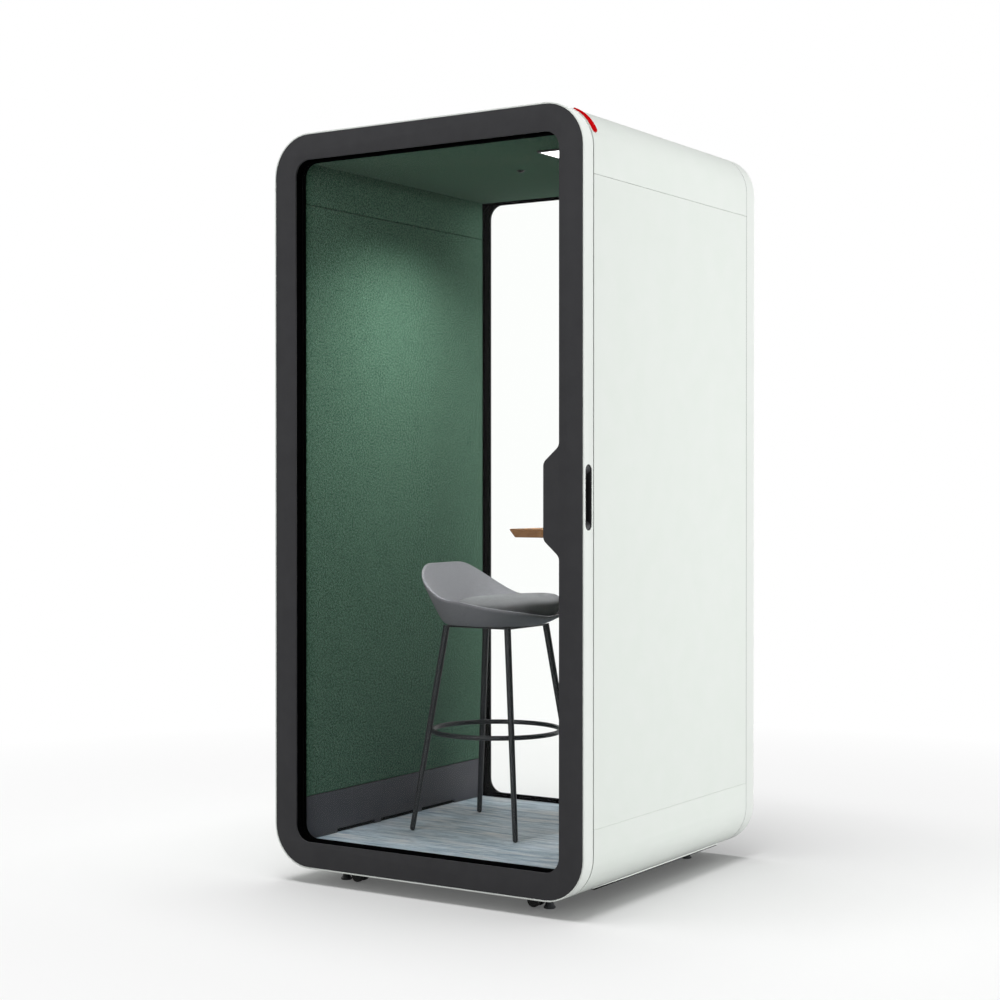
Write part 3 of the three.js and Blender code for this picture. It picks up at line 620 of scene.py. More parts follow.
def placed(name: str, data: bpy.types.ID) -> Piece:
    """Puts an object in the scene.

    Args:
        name: the object's name.
        data: its mesh, curve, lamp or camera.

    Returns:
        The object, at the origin.
    """
    thing = bpy.data.objects.new(name, data)
    bpy.context.scene.collection.objects.link(thing)
    return thing


def opened(mesh: bpy.types.Mesh) -> Mesh:
    """A bmesh copy of a mesh.

    Args:
        mesh: the mesh.

    Returns:
        The copy.
    """
    bm = bmesh.new()
    bm.from_mesh(mesh)
    return bm


def closed(bm: Mesh, mesh: bpy.types.Mesh) -> None:
    """Writes a bmesh into a mesh, shaded smooth, and frees it.

    Args:
        bm: the bmesh.
        mesh: the mesh that takes it.
    """
    bm.to_mesh(mesh)
    bm.free()
    mesh.polygons.foreach_set("use_smooth", [True] * len(mesh.polygons))


def evaluated(thing: Piece) -> bpy.types.Mesh:
    """A new mesh of what an object's modifiers or bevel give."""
    graph = bpy.context.evaluated_depsgraph_get()
    return bpy.data.meshes.new_from_object(thing.evaluated_get(graph))


def outward(bm: Mesh) -> None:
    """Turns every face outwards."""
    bmesh.ops.recalc_face_normals(bm, faces=bm.faces)


def bevelled(bm: Mesh, geom: list, offset: float, segments: int, affect: str) -> None:
    """Rounds corners or edges of a mesh."""
    shape = {"offset": offset, "segments": segments, "profile": 0.5}
    bmesh.ops.bevel(bm, geom=geom, affect=affect, material=-1, **shape)


def sliced(bm: Mesh, axis: int, at: float) -> None:
    """Cuts edges into a mesh along a plane across an axis.

    Args:
        bm: the mesh.
        axis: 0, 1 or 2 for x, y or z.
        at: the plane's place on that axis.
    """
    normal = Vector((0, 0, 0))
    normal[axis] = 1.0
    geom = [*bm.verts, *bm.edges, *bm.faces]
    bmesh.ops.bisect_plane(bm, geom=geom, plane_co=normal * at, plane_no=normal)


def block(*spans: Span) -> Mesh:
    """A block.

    Args:
        spans: its ends on x, y and z.

    Returns:
        The mesh.
    """
    low, high = (Vector(ends) for ends in zip(*spans))
    bm = bmesh.new()
    bmesh.ops.create_cube(bm, size=1.0)
    bmesh.ops.scale(bm, vec=high - low, verts=bm.verts)
    bmesh.ops.translate(bm, vec=(low + high) / 2, verts=bm.verts)
    return bm


def turned(bm: Mesh, profile: Profile, steps: int, place: Matrix) -> None:
    """Spins a profile of (radius, height) points about Z into a closed turned body.

    Args:
        bm: the mesh that takes the body.
        profile: points from one end of the axis to the other.
        steps: divisions round the axis.
        place: where the body goes.
    """
    before = set(bm.verts)
    line = [bm.verts.new((r, 0.0, z)) for r, z in profile]
    edges = [bm.edges.new(pair) for pair in zip(line, line[1:])]
    turn = {"cent": (0, 0, 0), "axis": (0, 0, 1), "angle": math.tau, "steps": steps}
    bmesh.ops.spin(bm, geom=line + edges, use_merge=True, **turn)
    fresh = [v for v in bm.verts if v not in before]
    bmesh.ops.remove_doubles(bm, verts=fresh, dist=SAME_POINT)
    fresh = [v for v in bm.verts if v not in before]
    faces = list({f for v in fresh for f in v.link_faces})
    bmesh.ops.recalc_face_normals(bm, faces=faces)
    bmesh.ops.transform(bm, matrix=place, verts=fresh)


def in_mm(profile: Profile) -> list[tuple[float, float]]:
    """A profile given in millimetres, in metres."""
    return [(r * MM, z * MM) for r, z in profile]


def shifted(x: float, y: float, z: float) -> Matrix:
    """A move by x, y and z."""
    return Matrix.Translation((x, y, z))


def skinned(rings: Sequence[Ring], around: int) -> Mesh:
    """Extrudes a loop of edges from ring to ring and closes both ends.

    Args:
        rings: where each ring's points go, by angle.
        around: points in a ring.

    Returns:
        The closed mesh.
    """
    bm = bmesh.new()
    bmesh.ops.create_circle(bm, segments=around, radius=1.0, cap_ends=True)
    loop = list(bm.edges)
    angles = {v: math.atan2(v.co.y, v.co.x) for v in bm.verts}
    for v, phi in angles.items():
        v.co = rings[0](phi)
    for ring in rings[1:]:
        made = bmesh.ops.extrude_edge_only(bm, edges=loop)["geom"]
        loop = [e for e in made if isinstance(e, bmesh.types.BMEdge)]
        kept: dict[bmesh.types.BMVert, float] = {}
        for v in (v for v in made if isinstance(v, bmesh.types.BMVert)):
            source = next(e.other_vert(v) for e in v.link_edges if e.other_vert(v) in angles)
            kept[v] = angles[source]
        for v, phi in kept.items():
            v.co = ring(phi)
        angles = kept
    bmesh.ops.contextual_create(bm, geom=loop)
    outward(bm)
    return bm


class Bench:
    """Makes pieces: puts a mesh in the scene, gives it its finish, and ties it to the part."""

    FLAT = math.radians(0.4)
    SHARP = math.radians(32)
    SAME_CORNER = 2e-6

    def __init__(self, frame: dict) -> None:
        """Keeps the loaded frame.
        """
        bodies = frame["record"]["behaviour"]["bodies"]
        self.nodes: dict[str, Piece] = frame["nodes"]
        self.bodies = {node: body for body, nodes in bodies.items() for node in nodes}

    @staticmethod
    def loose(name: str, bm: Mesh) -> Piece:
        """Turns a bmesh into an object at the origin, shaded smooth.

        Args:
            name: the piece's name.
            bm: its mesh in the part's frame, freed here.

        Returns:
            The object.
        """
        mesh = bpy.data.meshes.new(name)
        closed(bm, mesh)
        return placed(name, mesh)

    @staticmethod
    def fit(piece: Piece, finish: Finish, body: str, replaces: Iterable[str] = ()) -> Piece:
        """Finishes a piece and lets it ride on a body.

        Args:
            piece: the object, in place.
            finish: its finish.
            body: the body that carries it.
            replaces: nodes that it stands for.

        Returns:
            The piece.
        """
        piece.data.materials.clear()
        piece.data.materials.append(finish.material())
        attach(piece, body)
        if replaces:
            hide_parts(*replaces)
        LOG.info("%s on %s in %s", piece.name, body, finish.name)
        return piece

    def make(
        self,
        name: str,
        bm: Mesh,
        finish: Finish,
        body: str,
        replaces: Iterable[str] = (),
        width: float = 0.0,
        segments: int = 3,
    ) -> Piece:
        """Turns a bmesh into a finished piece, with its sharp edges rounded where a width is given.

        Args:
            name: the piece's name.
            bm: its mesh in the part's frame, freed here.
            finish: its finish.
            body: the body that carries it.
            replaces: nodes that it stands for.
            width: the rounding in metres, or 0 for none.
            segments: steps across the rounding.

        Returns:
            The piece.
        """
        piece = self.loose(name, bm)
        if width:
            self.edge(piece, width, segments)
        return self.fit(piece, finish, body, replaces)

    def edge(self, piece: Piece, width: float, segments: int = 3) -> None:
        """Rounds a piece's sharp edges.

        Args:
            piece: the object.
            width: the rounding in metres.
            segments: steps across the rounding.
        """
        bevel = piece.modifiers.new("rounded_edges", "BEVEL")
        bevel.width = width
        bevel.segments = segments
        bevel.limit_method = "ANGLE"
        bevel.angle_limit = self.SHARP
        bevel.harden_normals = True

    def merged(self, node: str) -> Mesh:
        """A node's solid with its triangles joined into faces.

        Args:
            node: the node's name.

        Returns:
            A new bmesh in the part's frame.
        """
        bm = opened(self.nodes[node].data)
        bmesh.ops.remove_doubles(bm, verts=bm.verts, dist=self.SAME_CORNER)
        bmesh.ops.dissolve_limit(bm, angle_limit=self.FLAT, verts=bm.verts, edges=bm.edges)
        return bm

    def rounded(self, node: str, finish: Finish, width: float, segments: int = 3) -> Piece:
        """Stands a copy with rounded edges in for a node."""
        name, body = f"{node}_fine", self.bodies[node]
        return self.make(name, self.merged(node), finish, body, [node], width, segments)

    def dress(self, finish: Finish, *nodes: str) -> None:
        """Gives nodes that stay as they are a finish.

        Args:
            finish: the finish.
            nodes: the nodes' names.
        """
        for node in nodes:
            self.nodes[node].material_slots[0].material = finish.material()
            LOG.info("%s stays, in %s", node, finish.name)

    @staticmethod
    def made_in(finish: Finish) -> list[Piece]:
        """Pieces in a finish."""
        meshes = (o for o in bpy.context.scene.objects if o.type == "MESH")
        return [o for o in meshes if o.active_material == finish.material()]


@dataclass
class Assembly:
    """A sub-assembly, made on a bench."""

    bench: Bench

    def build(self) -> None:
        """Makes and dresses the sub-assembly's pieces."""
        raise NotImplementedError


@dataclass
class Shell(Assembly):
    """White outer panels with a status light let into the roof's edge."""

    edge: float = 0.45 * MM
    inlet_edge: float = 0.6 * MM
    jamb_edge: float = 0.8 * MM
    hem_edge: float = 0.9 * MM
    hem_x: Span = (452 * MM, 461.2 * MM)
    hem_y: Span = (-345 * MM, 445 * MM)
    hem_z: Span = (50.5 * MM, 56 * MM)
    hem_full: float = -150 * MM
    hem_fade: float = 6 * MM
    # painted shade: the black strip under the hem stands for the shadow line below the base's lower
    # edge
    shade_strip_x: Span = (446 * MM, 459 * MM)
    shade_strip_y: Span = (-340 * MM, 443 * MM)
    shade_strip_z: Span = (47.4 * MM, 50.1 * MM)
    corner_x: float = 415 * MM
    corner_z: float = 2127 * MM
    corner_radius: float = 127 * MM
    status_proud: float = 2.6 * MM
    status_edge: float = 0.8 * MM
    front_band: float = 0.1 * MM
    set_back: float = 1.8 * MM
    flat_x: float = 409 * MM
    flat_z: Span = (179 * MM, 2121 * MM)
    top_band: float = 0.05 * MM
    slot_margin: float = 4 * MM
    close_low: float = 1.0 * MM
    close_high: float = 0.7 * MM

    def build(self) -> None:
        """Makes the panels, the status light, the hems and what lies behind the panels."""
        for node in ("roof_shell", "side_panel_left", "side_panel_right", "base_shell"):
            self.panel(node)
        self.status()
        self.bench.rounded("power_inlet", Palette.PLASTIC, self.inlet_edge)
        self.bench.dress(Palette.CORE, "roof_core", "wall_core_left", "wall_core_right")
        # the deck's near-black tone is painted shade for the vent slots in the skirting
        self.bench.dress(Palette.DECK_SHADE, "floor_deck")
        self.bench.rounded("front_jamb", Palette.BOARD, self.jamb_edge)
        for side, name in ((-1, "left"), (1, "right")):
            self.hem(side, name)

    def panel(self, node: str) -> None:
        """Makes a panel with its front edge a little behind the door gap and fine seams.

        Args:
            node: the panel's node.
        """
        bm = self.bench.merged(node)
        low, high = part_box(node)
        upright = node.startswith("side_panel")
        for axis, at in () if upright else self.cuts(bm, low, high):
            sliced(bm, axis, at)
        for v in bm.verts:
            if v.co.y < low.y + self.front_band:
                v.co.y += self.set_back
            if upright:
                v.co.z += self.close_high if v.co.z > (low.z + high.z) / 2 else -self.close_low
        body = self.bench.bodies[node]
        self.bench.make(f"{node}_fine", bm, Palette.WHITE, body, [node], self.edge)

    def cuts(self, bm: Mesh, low: Vector, high: Vector) -> list[tuple[int, float]]:
        """Cuts that keep flat faces evenly shaded: beside the curves and round the roof's slots.

        Args:
            bm: the panel's mesh.
            low: lower corner of its box.
            high: upper corner of its box.

        Returns:
            Axis and place of each cut.
        """
        places = [(0, -self.flat_x), (0, self.flat_x), *((2, at) for at in self.flat_z)]
        margin = self.slot_margin
        top = (v.co for v in bm.verts if v.co.z > high.z - self.top_band)
        slots = [co for co in top if low.y + margin < co.y < high.y - margin]
        for axis in (0, 1) if slots else ():
            line = [co[axis] for co in slots]
            places += [(axis, min(line) - margin), (axis, max(line) + margin)]
        return places

    def status(self) -> None:
        """Stands the status light's diffuser proud of the roof's curve."""
        node = "status_light"
        bm = self.bench.merged(node)
        centre = Vector((self.corner_x, 0, self.corner_z))
        for v in bm.verts:
            out = Vector((v.co.x, 0, v.co.z)) - centre
            if out.length > self.corner_radius:
                v.co += out.normalized() * self.status_proud
        body = self.bench.bodies[node]
        self.bench.make(f"{node}_fine", bm, Palette.RED, body, [node], self.status_edge)

    def hem(self, side: int, name: str) -> None:
        """Turns the base's lower edge down into a short upright hem over a black strip of painted
        shade, which stands for the shadow line under the hem.

        Args:
            side: -1 for the left, 1 for the right.
            name: that side's name.
        """
        hem = block(self.hem_x, self.hem_y, self.hem_z)
        sliced(hem, 1, self.hem_full)
        for v in hem.verts:
            if v.co.y < self.hem_full - MM and v.co.x > self.hem_x[1] - MM:
                v.co.x -= self.hem_fade
        # painted shade: a black strip below the hem, in the glazing beads' black, for the shadow
        # line there
        shade_strip = block(self.shade_strip_x, self.shade_strip_y, self.shade_strip_z)
        for label, bm, finish in (("hem", hem, Palette.WHITE), ("shade_strip", shade_strip, Palette.BEAD_AND_SHADE)):
            bmesh.ops.scale(bm, vec=(side, 1, 1), verts=bm.verts)
            outward(bm)
            piece = f"base_{label}_{name}"
            self.bench.make(piece, bm, finish, Body.POD.value, width=self.hem_edge)


@dataclass
class GlazedEnds(Assembly):
    """Door and rear wall: white frame, dark face, black reveal and pane."""

    frame_edge: float = 1.0 * MM
    face_edge: float = 0.7 * MM
    half: float = 461.7 * MM
    foot: float = 126.3 * MM
    head: float = 2173.7 * MM
    corner: float = 47.7 * MM
    corner_steps: int = 10
    bead: float = 4 * MM
    bead_depth: float = 3.8 * MM
    bead_gap: float = 0.2 * MM
    bead_edge: float = 0.5 * MM
    pocket_edge: float = 1.0 * MM
    pocket_wall: float = 3.4 * MM
    pocket_lip: float = 2.2 * MM
    scoop_depth: float = 16 * MM
    scoop_rise: float = 11 * MM
    scoop_steps: int = 16
    gasket_back: float = 0.4 * MM
    gasket_corner: float = 126 * MM
    gasket_gap: float = 0.1 * MM
    hinge_edge: float = 0.35 * MM

    def build(self) -> None:
        """Makes both ends, the handle pocket, the seal and the hinges."""
        bench = self.bench
        for end in ("door", "rear"):
            bench.rounded(f"{end}_frame", Palette.FRAME, self.frame_edge)
            bench.rounded(f"{end}_face", Palette.FACE, self.face_edge)
            bench.rounded(f"{end}_liner", Palette.REVEAL, self.face_edge)
            self.glaze(f"{end}_glass")
            self.beads(end)
        self.gasket()
        bench.rounded("handle_pocket", Palette.PLASTIC, self.pocket_edge)
        for up, name in ((1, "upper"), (-1, "lower")):
            self.scoop(up, name)
        bench.dress(Palette.RUBBER, "door_seal")
        for half in ("lower", "upper"):
            for level in ("top", "middle", "bottom"):
                bench.rounded(f"hinge_{half}_{level}", Palette.STEEL, self.hinge_edge, 2)

    def glaze(self, node: str) -> None:
        """Makes a pane clear, for light as well as for sight."""
        self.bench.dress(Palette.GLASS, node)
        self.bench.nodes[node].visible_shadow = self.bench.nodes[node].visible_diffuse = False

    def scoop(self, up: int, name: str) -> None:
        """Slopes one end of the handle pocket so that fingers slide in.

        Args:
            up: 1 for the upper end, -1 for the lower.
            name: that end's name.
        """
        low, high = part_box("handle_pocket")
        middle, half = (low + high) / 2, (high - low) / 2
        radius = half.y - self.pocket_wall
        z = middle.z + up * (half.z - self.pocket_wall - radius)
        face, deep = high.x - self.pocket_lip, high.x - self.scoop_depth

        def ring(turn: float) -> Ring:
            """The three corners of the slope at a place on the end's arc.

            Args:
                turn: the place on the arc, as an angle.

            Returns:
                The ring of the slope there.
            """
            y = middle.y + radius * math.cos(turn)
            rim = Vector((face, y, z + up * radius * math.sin(turn)))
            back = Vector((deep, rim.y, rim.z))
            corners = (rim, back, back - Vector((0, 0, up * self.scoop_rise)))
            return lambda phi: corners[round(3 * phi / math.tau) % 3]

        steps = self.scoop_steps
        bm = skinned([ring(math.pi * i / steps) for i in range(steps + 1)], 3)
        body = self.bench.bodies["handle_pocket"]
        # the slope's grey is a painted highlight on the pocket's black plastic
        piece = self.bench.make(f"handle_scoop_{name}", bm, Palette.SCOOP_HIGHLIGHT, body)
        piece.data.set_sharp_from_angle(angle=CRISP)

    def beads(self, end: str) -> None:
        """Holds a pane between two black beads that run round the opening.

        Args:
            end: door or rear.
        """
        node = f"{end}_glass"
        low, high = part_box(node)
        bm = bmesh.new()
        for at in (low.y - self.bead_gap - self.bead_depth, high.y + self.bead_gap):
            self.ring(bm, at)
        outward(bm)
        width, body = self.bead_edge, self.bench.bodies[node]
        self.bench.make(f"{end}_glazing_bead", bm, Palette.BEAD_AND_SHADE, body, (), width, 2)

    def gasket(self) -> None:
        """Closes the joint between shell and rear frame with a dark gasket below the surface."""
        _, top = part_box("roof_shell")
        bottom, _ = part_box("base_shell")
        rear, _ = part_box("rear_frame")
        outline = replace(
            self,
            half=top.x - self.gasket_back,
            foot=bottom.z + self.gasket_back,
            head=top.z - self.gasket_back,
            corner=self.gasket_corner,
            bead_depth=rear.y - top.y - 2 * self.gasket_gap,
        )
        bm = bmesh.new()
        outline.ring(bm, top.y + self.gasket_gap)
        outward(bm)
        self.bench.make("rear_joint_gasket", bm, Palette.RUBBER, Body.POD.value)

    def ring(self, bm: Mesh, at: float) -> None:
        """Adds a rounded frame that starts at a depth and runs back from it.

        Args:
            bm: the mesh that takes the frame.
            at: where it starts on y.
        """
        middle = (self.foot + self.head) / 2
        place = shifted(0, at, middle) @ Matrix.Rotation(math.pi / 2, 4, "X")
        grid = {"x_segments": 1, "y_segments": 1, "size": 0.5, "matrix": place}
        start = bmesh.ops.create_grid(bm, **grid)["verts"]
        size = (2 * self.half, 1, self.head - self.foot)
        bmesh.ops.scale(bm, vec=size, space=shifted(0, 0, -middle), verts=start)
        known = set(bm.faces) - {start[0].link_faces[0]}
        bevelled(bm, start, self.corner, self.corner_steps, "VERTICES")
        face = next(f for f in bm.faces if f not in known)
        inset = {"thickness": self.bead, "use_even_offset": True, "use_boundary": True}
        frame = bmesh.ops.inset_region(bm, faces=[face], **inset)["faces"]
        bmesh.ops.delete(bm, geom=[face], context="FACES_ONLY")
        made = bmesh.ops.extrude_face_region(bm, geom=frame, use_keep_orig=True)["geom"]
        moved = [v for v in made if isinstance(v, bmesh.types.BMVert)]
        bmesh.ops.translate(bm, vec=(0, self.bead_depth, 0), verts=moved)


@dataclass
class FeltPanel(Assembly):
    """A board wrapped in felt, with a soft roll along its edges."""

    node: str
    roll: float = 3.4 * MM
    fall: float = 2.2
    steps: tuple[float, ...] = (0.8 * MM, 1.8 * MM, 3.2 * MM, 5.2 * MM)
    edge: float = 0.6 * MM

    def build(self) -> None:
        """Makes the panel from the node's box."""
        low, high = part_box(self.node)
        inward = -1.0 if low.x + high.x > 0 else 1.0
        front = low.x if inward < 0 else high.x
        bm = block(*zip(low, high))
        for axis in (1, 2):
            for step in self.steps:
                for at in (low[axis] + step, high[axis] - step):
                    sliced(bm, axis, at)
        for v in bm.verts:
            if abs(v.co.x - front) < 10 * SAME_POINT:
                rim = min(min(v.co[a] - low[a], high[a] - v.co[a]) for a in (1, 2))
                share = (1 - min(1.0, rim / self.steps[-1])) ** self.fall
                v.co.x -= inward * self.roll * share
        piece = self.bench.loose(f"{self.node}_wrapped", bm)
        self.bench.edge(piece, self.edge)
        self.bench.fit(piece, Palette.FELT, self.bench.bodies[self.node], [self.node])


@dataclass
class Cabin(Assembly):
    """Linings, floor, ceiling panel and table."""

    board_edge: float = 0.8 * MM
    ceiling_edge: float = 2.4 * MM
    lamp_edge: float = 0.6 * MM
    fine_edge: float = 0.3 * MM
    table_edge: float = 1.4 * MM
    sensor_steps: int = 40
    lens: Span = (0.72, 0.52)
    lens_turns: tuple[float, ...] = (0.0, 0.35, 0.7, 1.05, 1.4)
    bezel: Profile = ((0.78, 0.62), (0.84, 0.58), (0.96, 0.62), (1.0, 0.7), (1.0, 1.0), (0.0, 1.0))

    def build(self) -> None:
        """Makes everything inside the shell apart from the stool."""
        bench = self.bench
        for side in ("left", "right"):
            FeltPanel(bench, f"wall_lining_{side}").build()
            FeltPanel(bench, f"upper_lining_{side}").build()
            bench.rounded(f"skirting_{side}", Palette.SKIRT, self.board_edge)
        ceiling = bench.rounded("ceiling_lining", Palette.FELT, self.ceiling_edge)
        bench.dress(Palette.FLOOR, "floor_covering")
        bench.rounded("lamp_housing", Palette.PLASTIC, self.lamp_edge)
        bench.rounded("lamp_diffuser", Palette.LAMP, self.fine_edge, 2)
        bench.rounded("fan_frame", Palette.PLASTIC, self.board_edge)
        bench.rounded("fan_rotor", Palette.PLASTIC, self.fine_edge, 2)
        self.sensor()
        bench.rounded("table_top", Palette.OAK, self.table_edge)
        for end in ("front", "rear"):
            bench.rounded(f"table_bracket_{end}", Palette.STEEL, self.board_edge)

    def sensor(self) -> None:
        """Turns the motion sensor: a bezel and a small domed lens."""
        node = "motion_sensor"
        low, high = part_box(node)
        middle, tall, radius = (low + high) / 2, high.z - low.z, (high.x - low.x) / 2
        wide, deep = self.lens
        dome = [(wide * math.sin(a), deep * (1 - math.cos(a))) for a in self.lens_turns]
        profile = [(radius * r, tall * z) for r, z in (*dome, *self.bezel)]
        bm = bmesh.new()
        turned(bm, profile, self.sensor_steps, shifted(middle.x, middle.y, low.z))
        self.bench.make(f"{node}_lens", bm, Palette.PLASTIC, self.bench.bodies[node], [node])


@dataclass
class RunningGear(Assembly):
    """Twin-wheel castors and levelling feet; profiles are radius and place on the axis in mm."""

    fork_edge: float = 0.7 * MM
    nut_edge: float = 0.3 * MM
    wheel_steps: int = 48
    foot_steps: int = 24
    hub: Profile = ((0.0, 21.0), (8.5, 21.0), (9.2, 20.4), (10.4, 20.4), (11.0, 22.0), (15.5, 22.5))
    tread: Profile = ((17.6, 21.9), (19.0, 20.2), (19.5, 18.0), (19.5, 10.0), (19.0, 8.0))
    inside: Profile = ((17.5, 6.4), (14.0, 6.0), (3.0, 6.0))
    pad: Profile = ((0, 0), (15.0, 0), (16.4, 0.5), (17.0, 1.8), (17.0, 4.6), (16.2, 6.0))
    cone: Profile = (
        (14.6, 6.6), (13.8, 8.2), (9.2, 21.6), (8.6, 22.6), (5.6, 23.2), (5.0, 24.0)
    )
    hexagon: Profile = (
        (5.2, 38.5), (8.0, 38.5), (9.2, 39.2), (9.2, 44.6), (8.0, 45.6), (5.2, 45.6), (5.2, 38.5)
    )
    thread: float = 1.5
    thread_start: float = 24.6
    thread_ends: float = 27.0
    thread_radii: Span = (4.95, 4.3)
    tip: Span = (4.6, 0.8)

    def build(self) -> None:
        """Makes each corner's castor and foot."""
        for corner in CORNERS:
            self.bench.rounded(f"castor_fork_{corner}", Palette.PLASTIC, self.fork_edge)
            self.castor(corner)
            self.foot(corner)

    def castor(self, corner: str) -> None:
        """Turns a pair of wheels with hub caps and rounded treads.

        Args:
            corner: the corner's name.
        """
        low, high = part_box(f"castor_wheel_{corner}")
        wheel = [*self.hub, *self.tread, *self.inside]
        pair = [(r, -y) for r, y in wheel] + wheel[::-1]
        place = Matrix.Translation((low + high) / 2) @ Matrix.Rotation(math.pi / 2, 4, "X")
        node, name = f"castor_wheel_{corner}", f"castor_wheels_{corner}"
        self.lathe(node, name, pair, self.wheel_steps, place, Palette.RUBBER)

    def foot(self, corner: str) -> None:
        """Turns a levelling foot with a threaded stem, and the nut that locks it.

        Args:
            corner: the corner's name.
        """
        node = f"levelling_foot_{corner}"
        low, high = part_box(node)
        place = shifted((low.x + high.x) / 2, (low.y + high.y) / 2, 0)
        top = high.z / MM
        crest, root = self.thread_radii
        profile = [*self.pad, *self.cone]
        for turn in range(int((top - self.thread_ends) / self.thread)):
            at = self.thread_start + turn * self.thread
            profile += [(crest, at), (root, at + self.thread / 2)]
        profile += [(self.tip[0], top - self.tip[1]), (0, top)]
        name = f"levelling_foot_turned_{corner}"
        self.lathe(node, name, profile, self.foot_steps, place, Palette.STEEL)
        bm = bmesh.new()
        turned(bm, in_mm(self.hexagon), 6, place)
        nut, width = f"foot_nut_{corner}", self.nut_edge
        self.bench.make(nut, bm, Palette.STEEL, Body.POD.value, (), width, 2)

    def lathe(
        self, node: str, name: str, profile: Profile, steps: int, place: Matrix, finish: Finish
    ) -> None:
        """Stands a turned body with crisp corners in for a node.

        Args:
            node: the node's name.
            name: the piece's name.
            profile: radius and place on the axis in mm.
            steps: divisions round the axis.
            place: where the body goes.
            finish: its finish.
        """
        bm = bmesh.new()
        turned(bm, in_mm(profile), steps, place)
        piece = self.bench.make(name, bm, finish, self.bench.bodies[node], [node])
        piece.data.set_sharp_from_angle(angle=CRISP)


@dataclass
class Seat:
    """Plan and heights of the stool's seat: a rounded square with a rim that rises to the back."""

    x: float = -98 * MM
    y: float = 11 * MM
    floor: float = 118 * MM
    half_depth: float = 205 * MM
    half_width: float = 218 * MM
    square: float = 3.2
    bowl_share: float = 0.62
    rim_share: float = 0.958
    base_share: float = 0.7
    flare: float = 0.85
    base: float = 642 * MM
    base_round: float = 5 * MM
    bowl: float = 662 * MM
    rim_front: float = 676 * MM
    rim_side: float = 727 * MM
    rim_back: float = 834 * MM
    rim_drop: float = 8 * MM
    rim_flat: float = 12.0
    rim_rise: float = 83.0
    back_turns: Span = (98.0, 158.0)
    cushion_top: float = 744 * MM
    cushion_edge: float = 704 * MM
    cushion_sunk: float = 8 * MM
    cushion_free: float = 0.02
    cushion_lip: float = 1.05
    lip_rise: Span = (4 * MM, 22 * MM)
    cushion_tilt: float = 0.075
    cushion_level: float = 130 * MM

    def radius(self, phi: float) -> float:
        """Distance of the plan's edge from the middle.

        Args:
            phi: angle from the front.

        Returns:
            The distance.
        """
        across = abs(math.cos(phi)) / self.half_depth
        along = abs(math.sin(phi)) / self.half_width
        return (across**self.square + along**self.square) ** (-1 / self.square)

    def rim(self, phi: float) -> float:
        """Height of the rim.

        Args:
            phi: angle from the front.

        Returns:
            The height above the cabin floor.
        """
        off = math.degrees(abs(math.atan2(math.sin(phi), math.cos(phi))))
        side = min(1.0, (math.hypot(off, self.rim_flat) - self.rim_flat) / self.rim_rise)
        back = smoothstep(*self.back_turns, off)
        return lerp(self.rim_front, self.rim_side, side) + (self.rim_back - self.rim_side) * back

    def inner(self, phi: float, scale: float) -> float:
        """Height of the inside of the tub."""
        t = (scale - self.bowl_share) / (self.rim_share - self.bowl_share)
        return lerp(self.bowl, self.rim(phi) - self.rim_drop, min(1.0, max(0.0, t)))

    def outer(self, phi: float, t: float) -> Vector:
        """Point on the outside of the tub, from its base at 0 to below the rim at 1."""
        height = lerp(self.base + self.base_round, self.rim(phi) - self.rim_drop, t)
        return self.at(phi, self.base_share + (1 - self.base_share) * t**self.flare, height)

    def cushion_scale(self, phi: float) -> float:
        """Scale of the cushion's widest line: inside the tub, and out over the rim at the front.

        Args:
            phi: angle from the front.

        Returns:
            The share of the plan.
        """
        rim = self.rim(phi)
        edge = self.cushion_edge + self.tilt(phi, self.bowl_share)
        t = (edge - self.cushion_sunk - self.bowl) / (rim - self.rim_drop - self.bowl)
        inside = lerp(self.bowl_share, self.rim_share, min(1.0, max(0.0, t))) - self.cushion_free
        low, high = self.lip_rise
        over_front = 1 - smoothstep(self.rim_front + low, self.rim_front + high, rim)
        return lerp(inside, self.cushion_lip, over_front)

    def tilt(self, phi: float, scale: float) -> float:
        """How much the cushion lies lower towards the back at a point of the plan."""
        forward = self.radius(phi) * scale * math.cos(phi)
        return self.cushion_tilt * (forward - self.cushion_level)

    def padding(self, phi: float, share: float, height: float) -> Vector:
        """Point on the cushion's upper side."""
        scale = share * self.cushion_scale(phi)
        return self.at(phi, scale, height + self.tilt(phi, scale))

    def at(self, phi: float, scale: float, height: float) -> Vector:
        """A point of the seat in the part's frame."""
        r = self.radius(phi) * scale
        return Vector((self.x + r * math.cos(phi), self.y + r * math.sin(phi), self.floor + height))


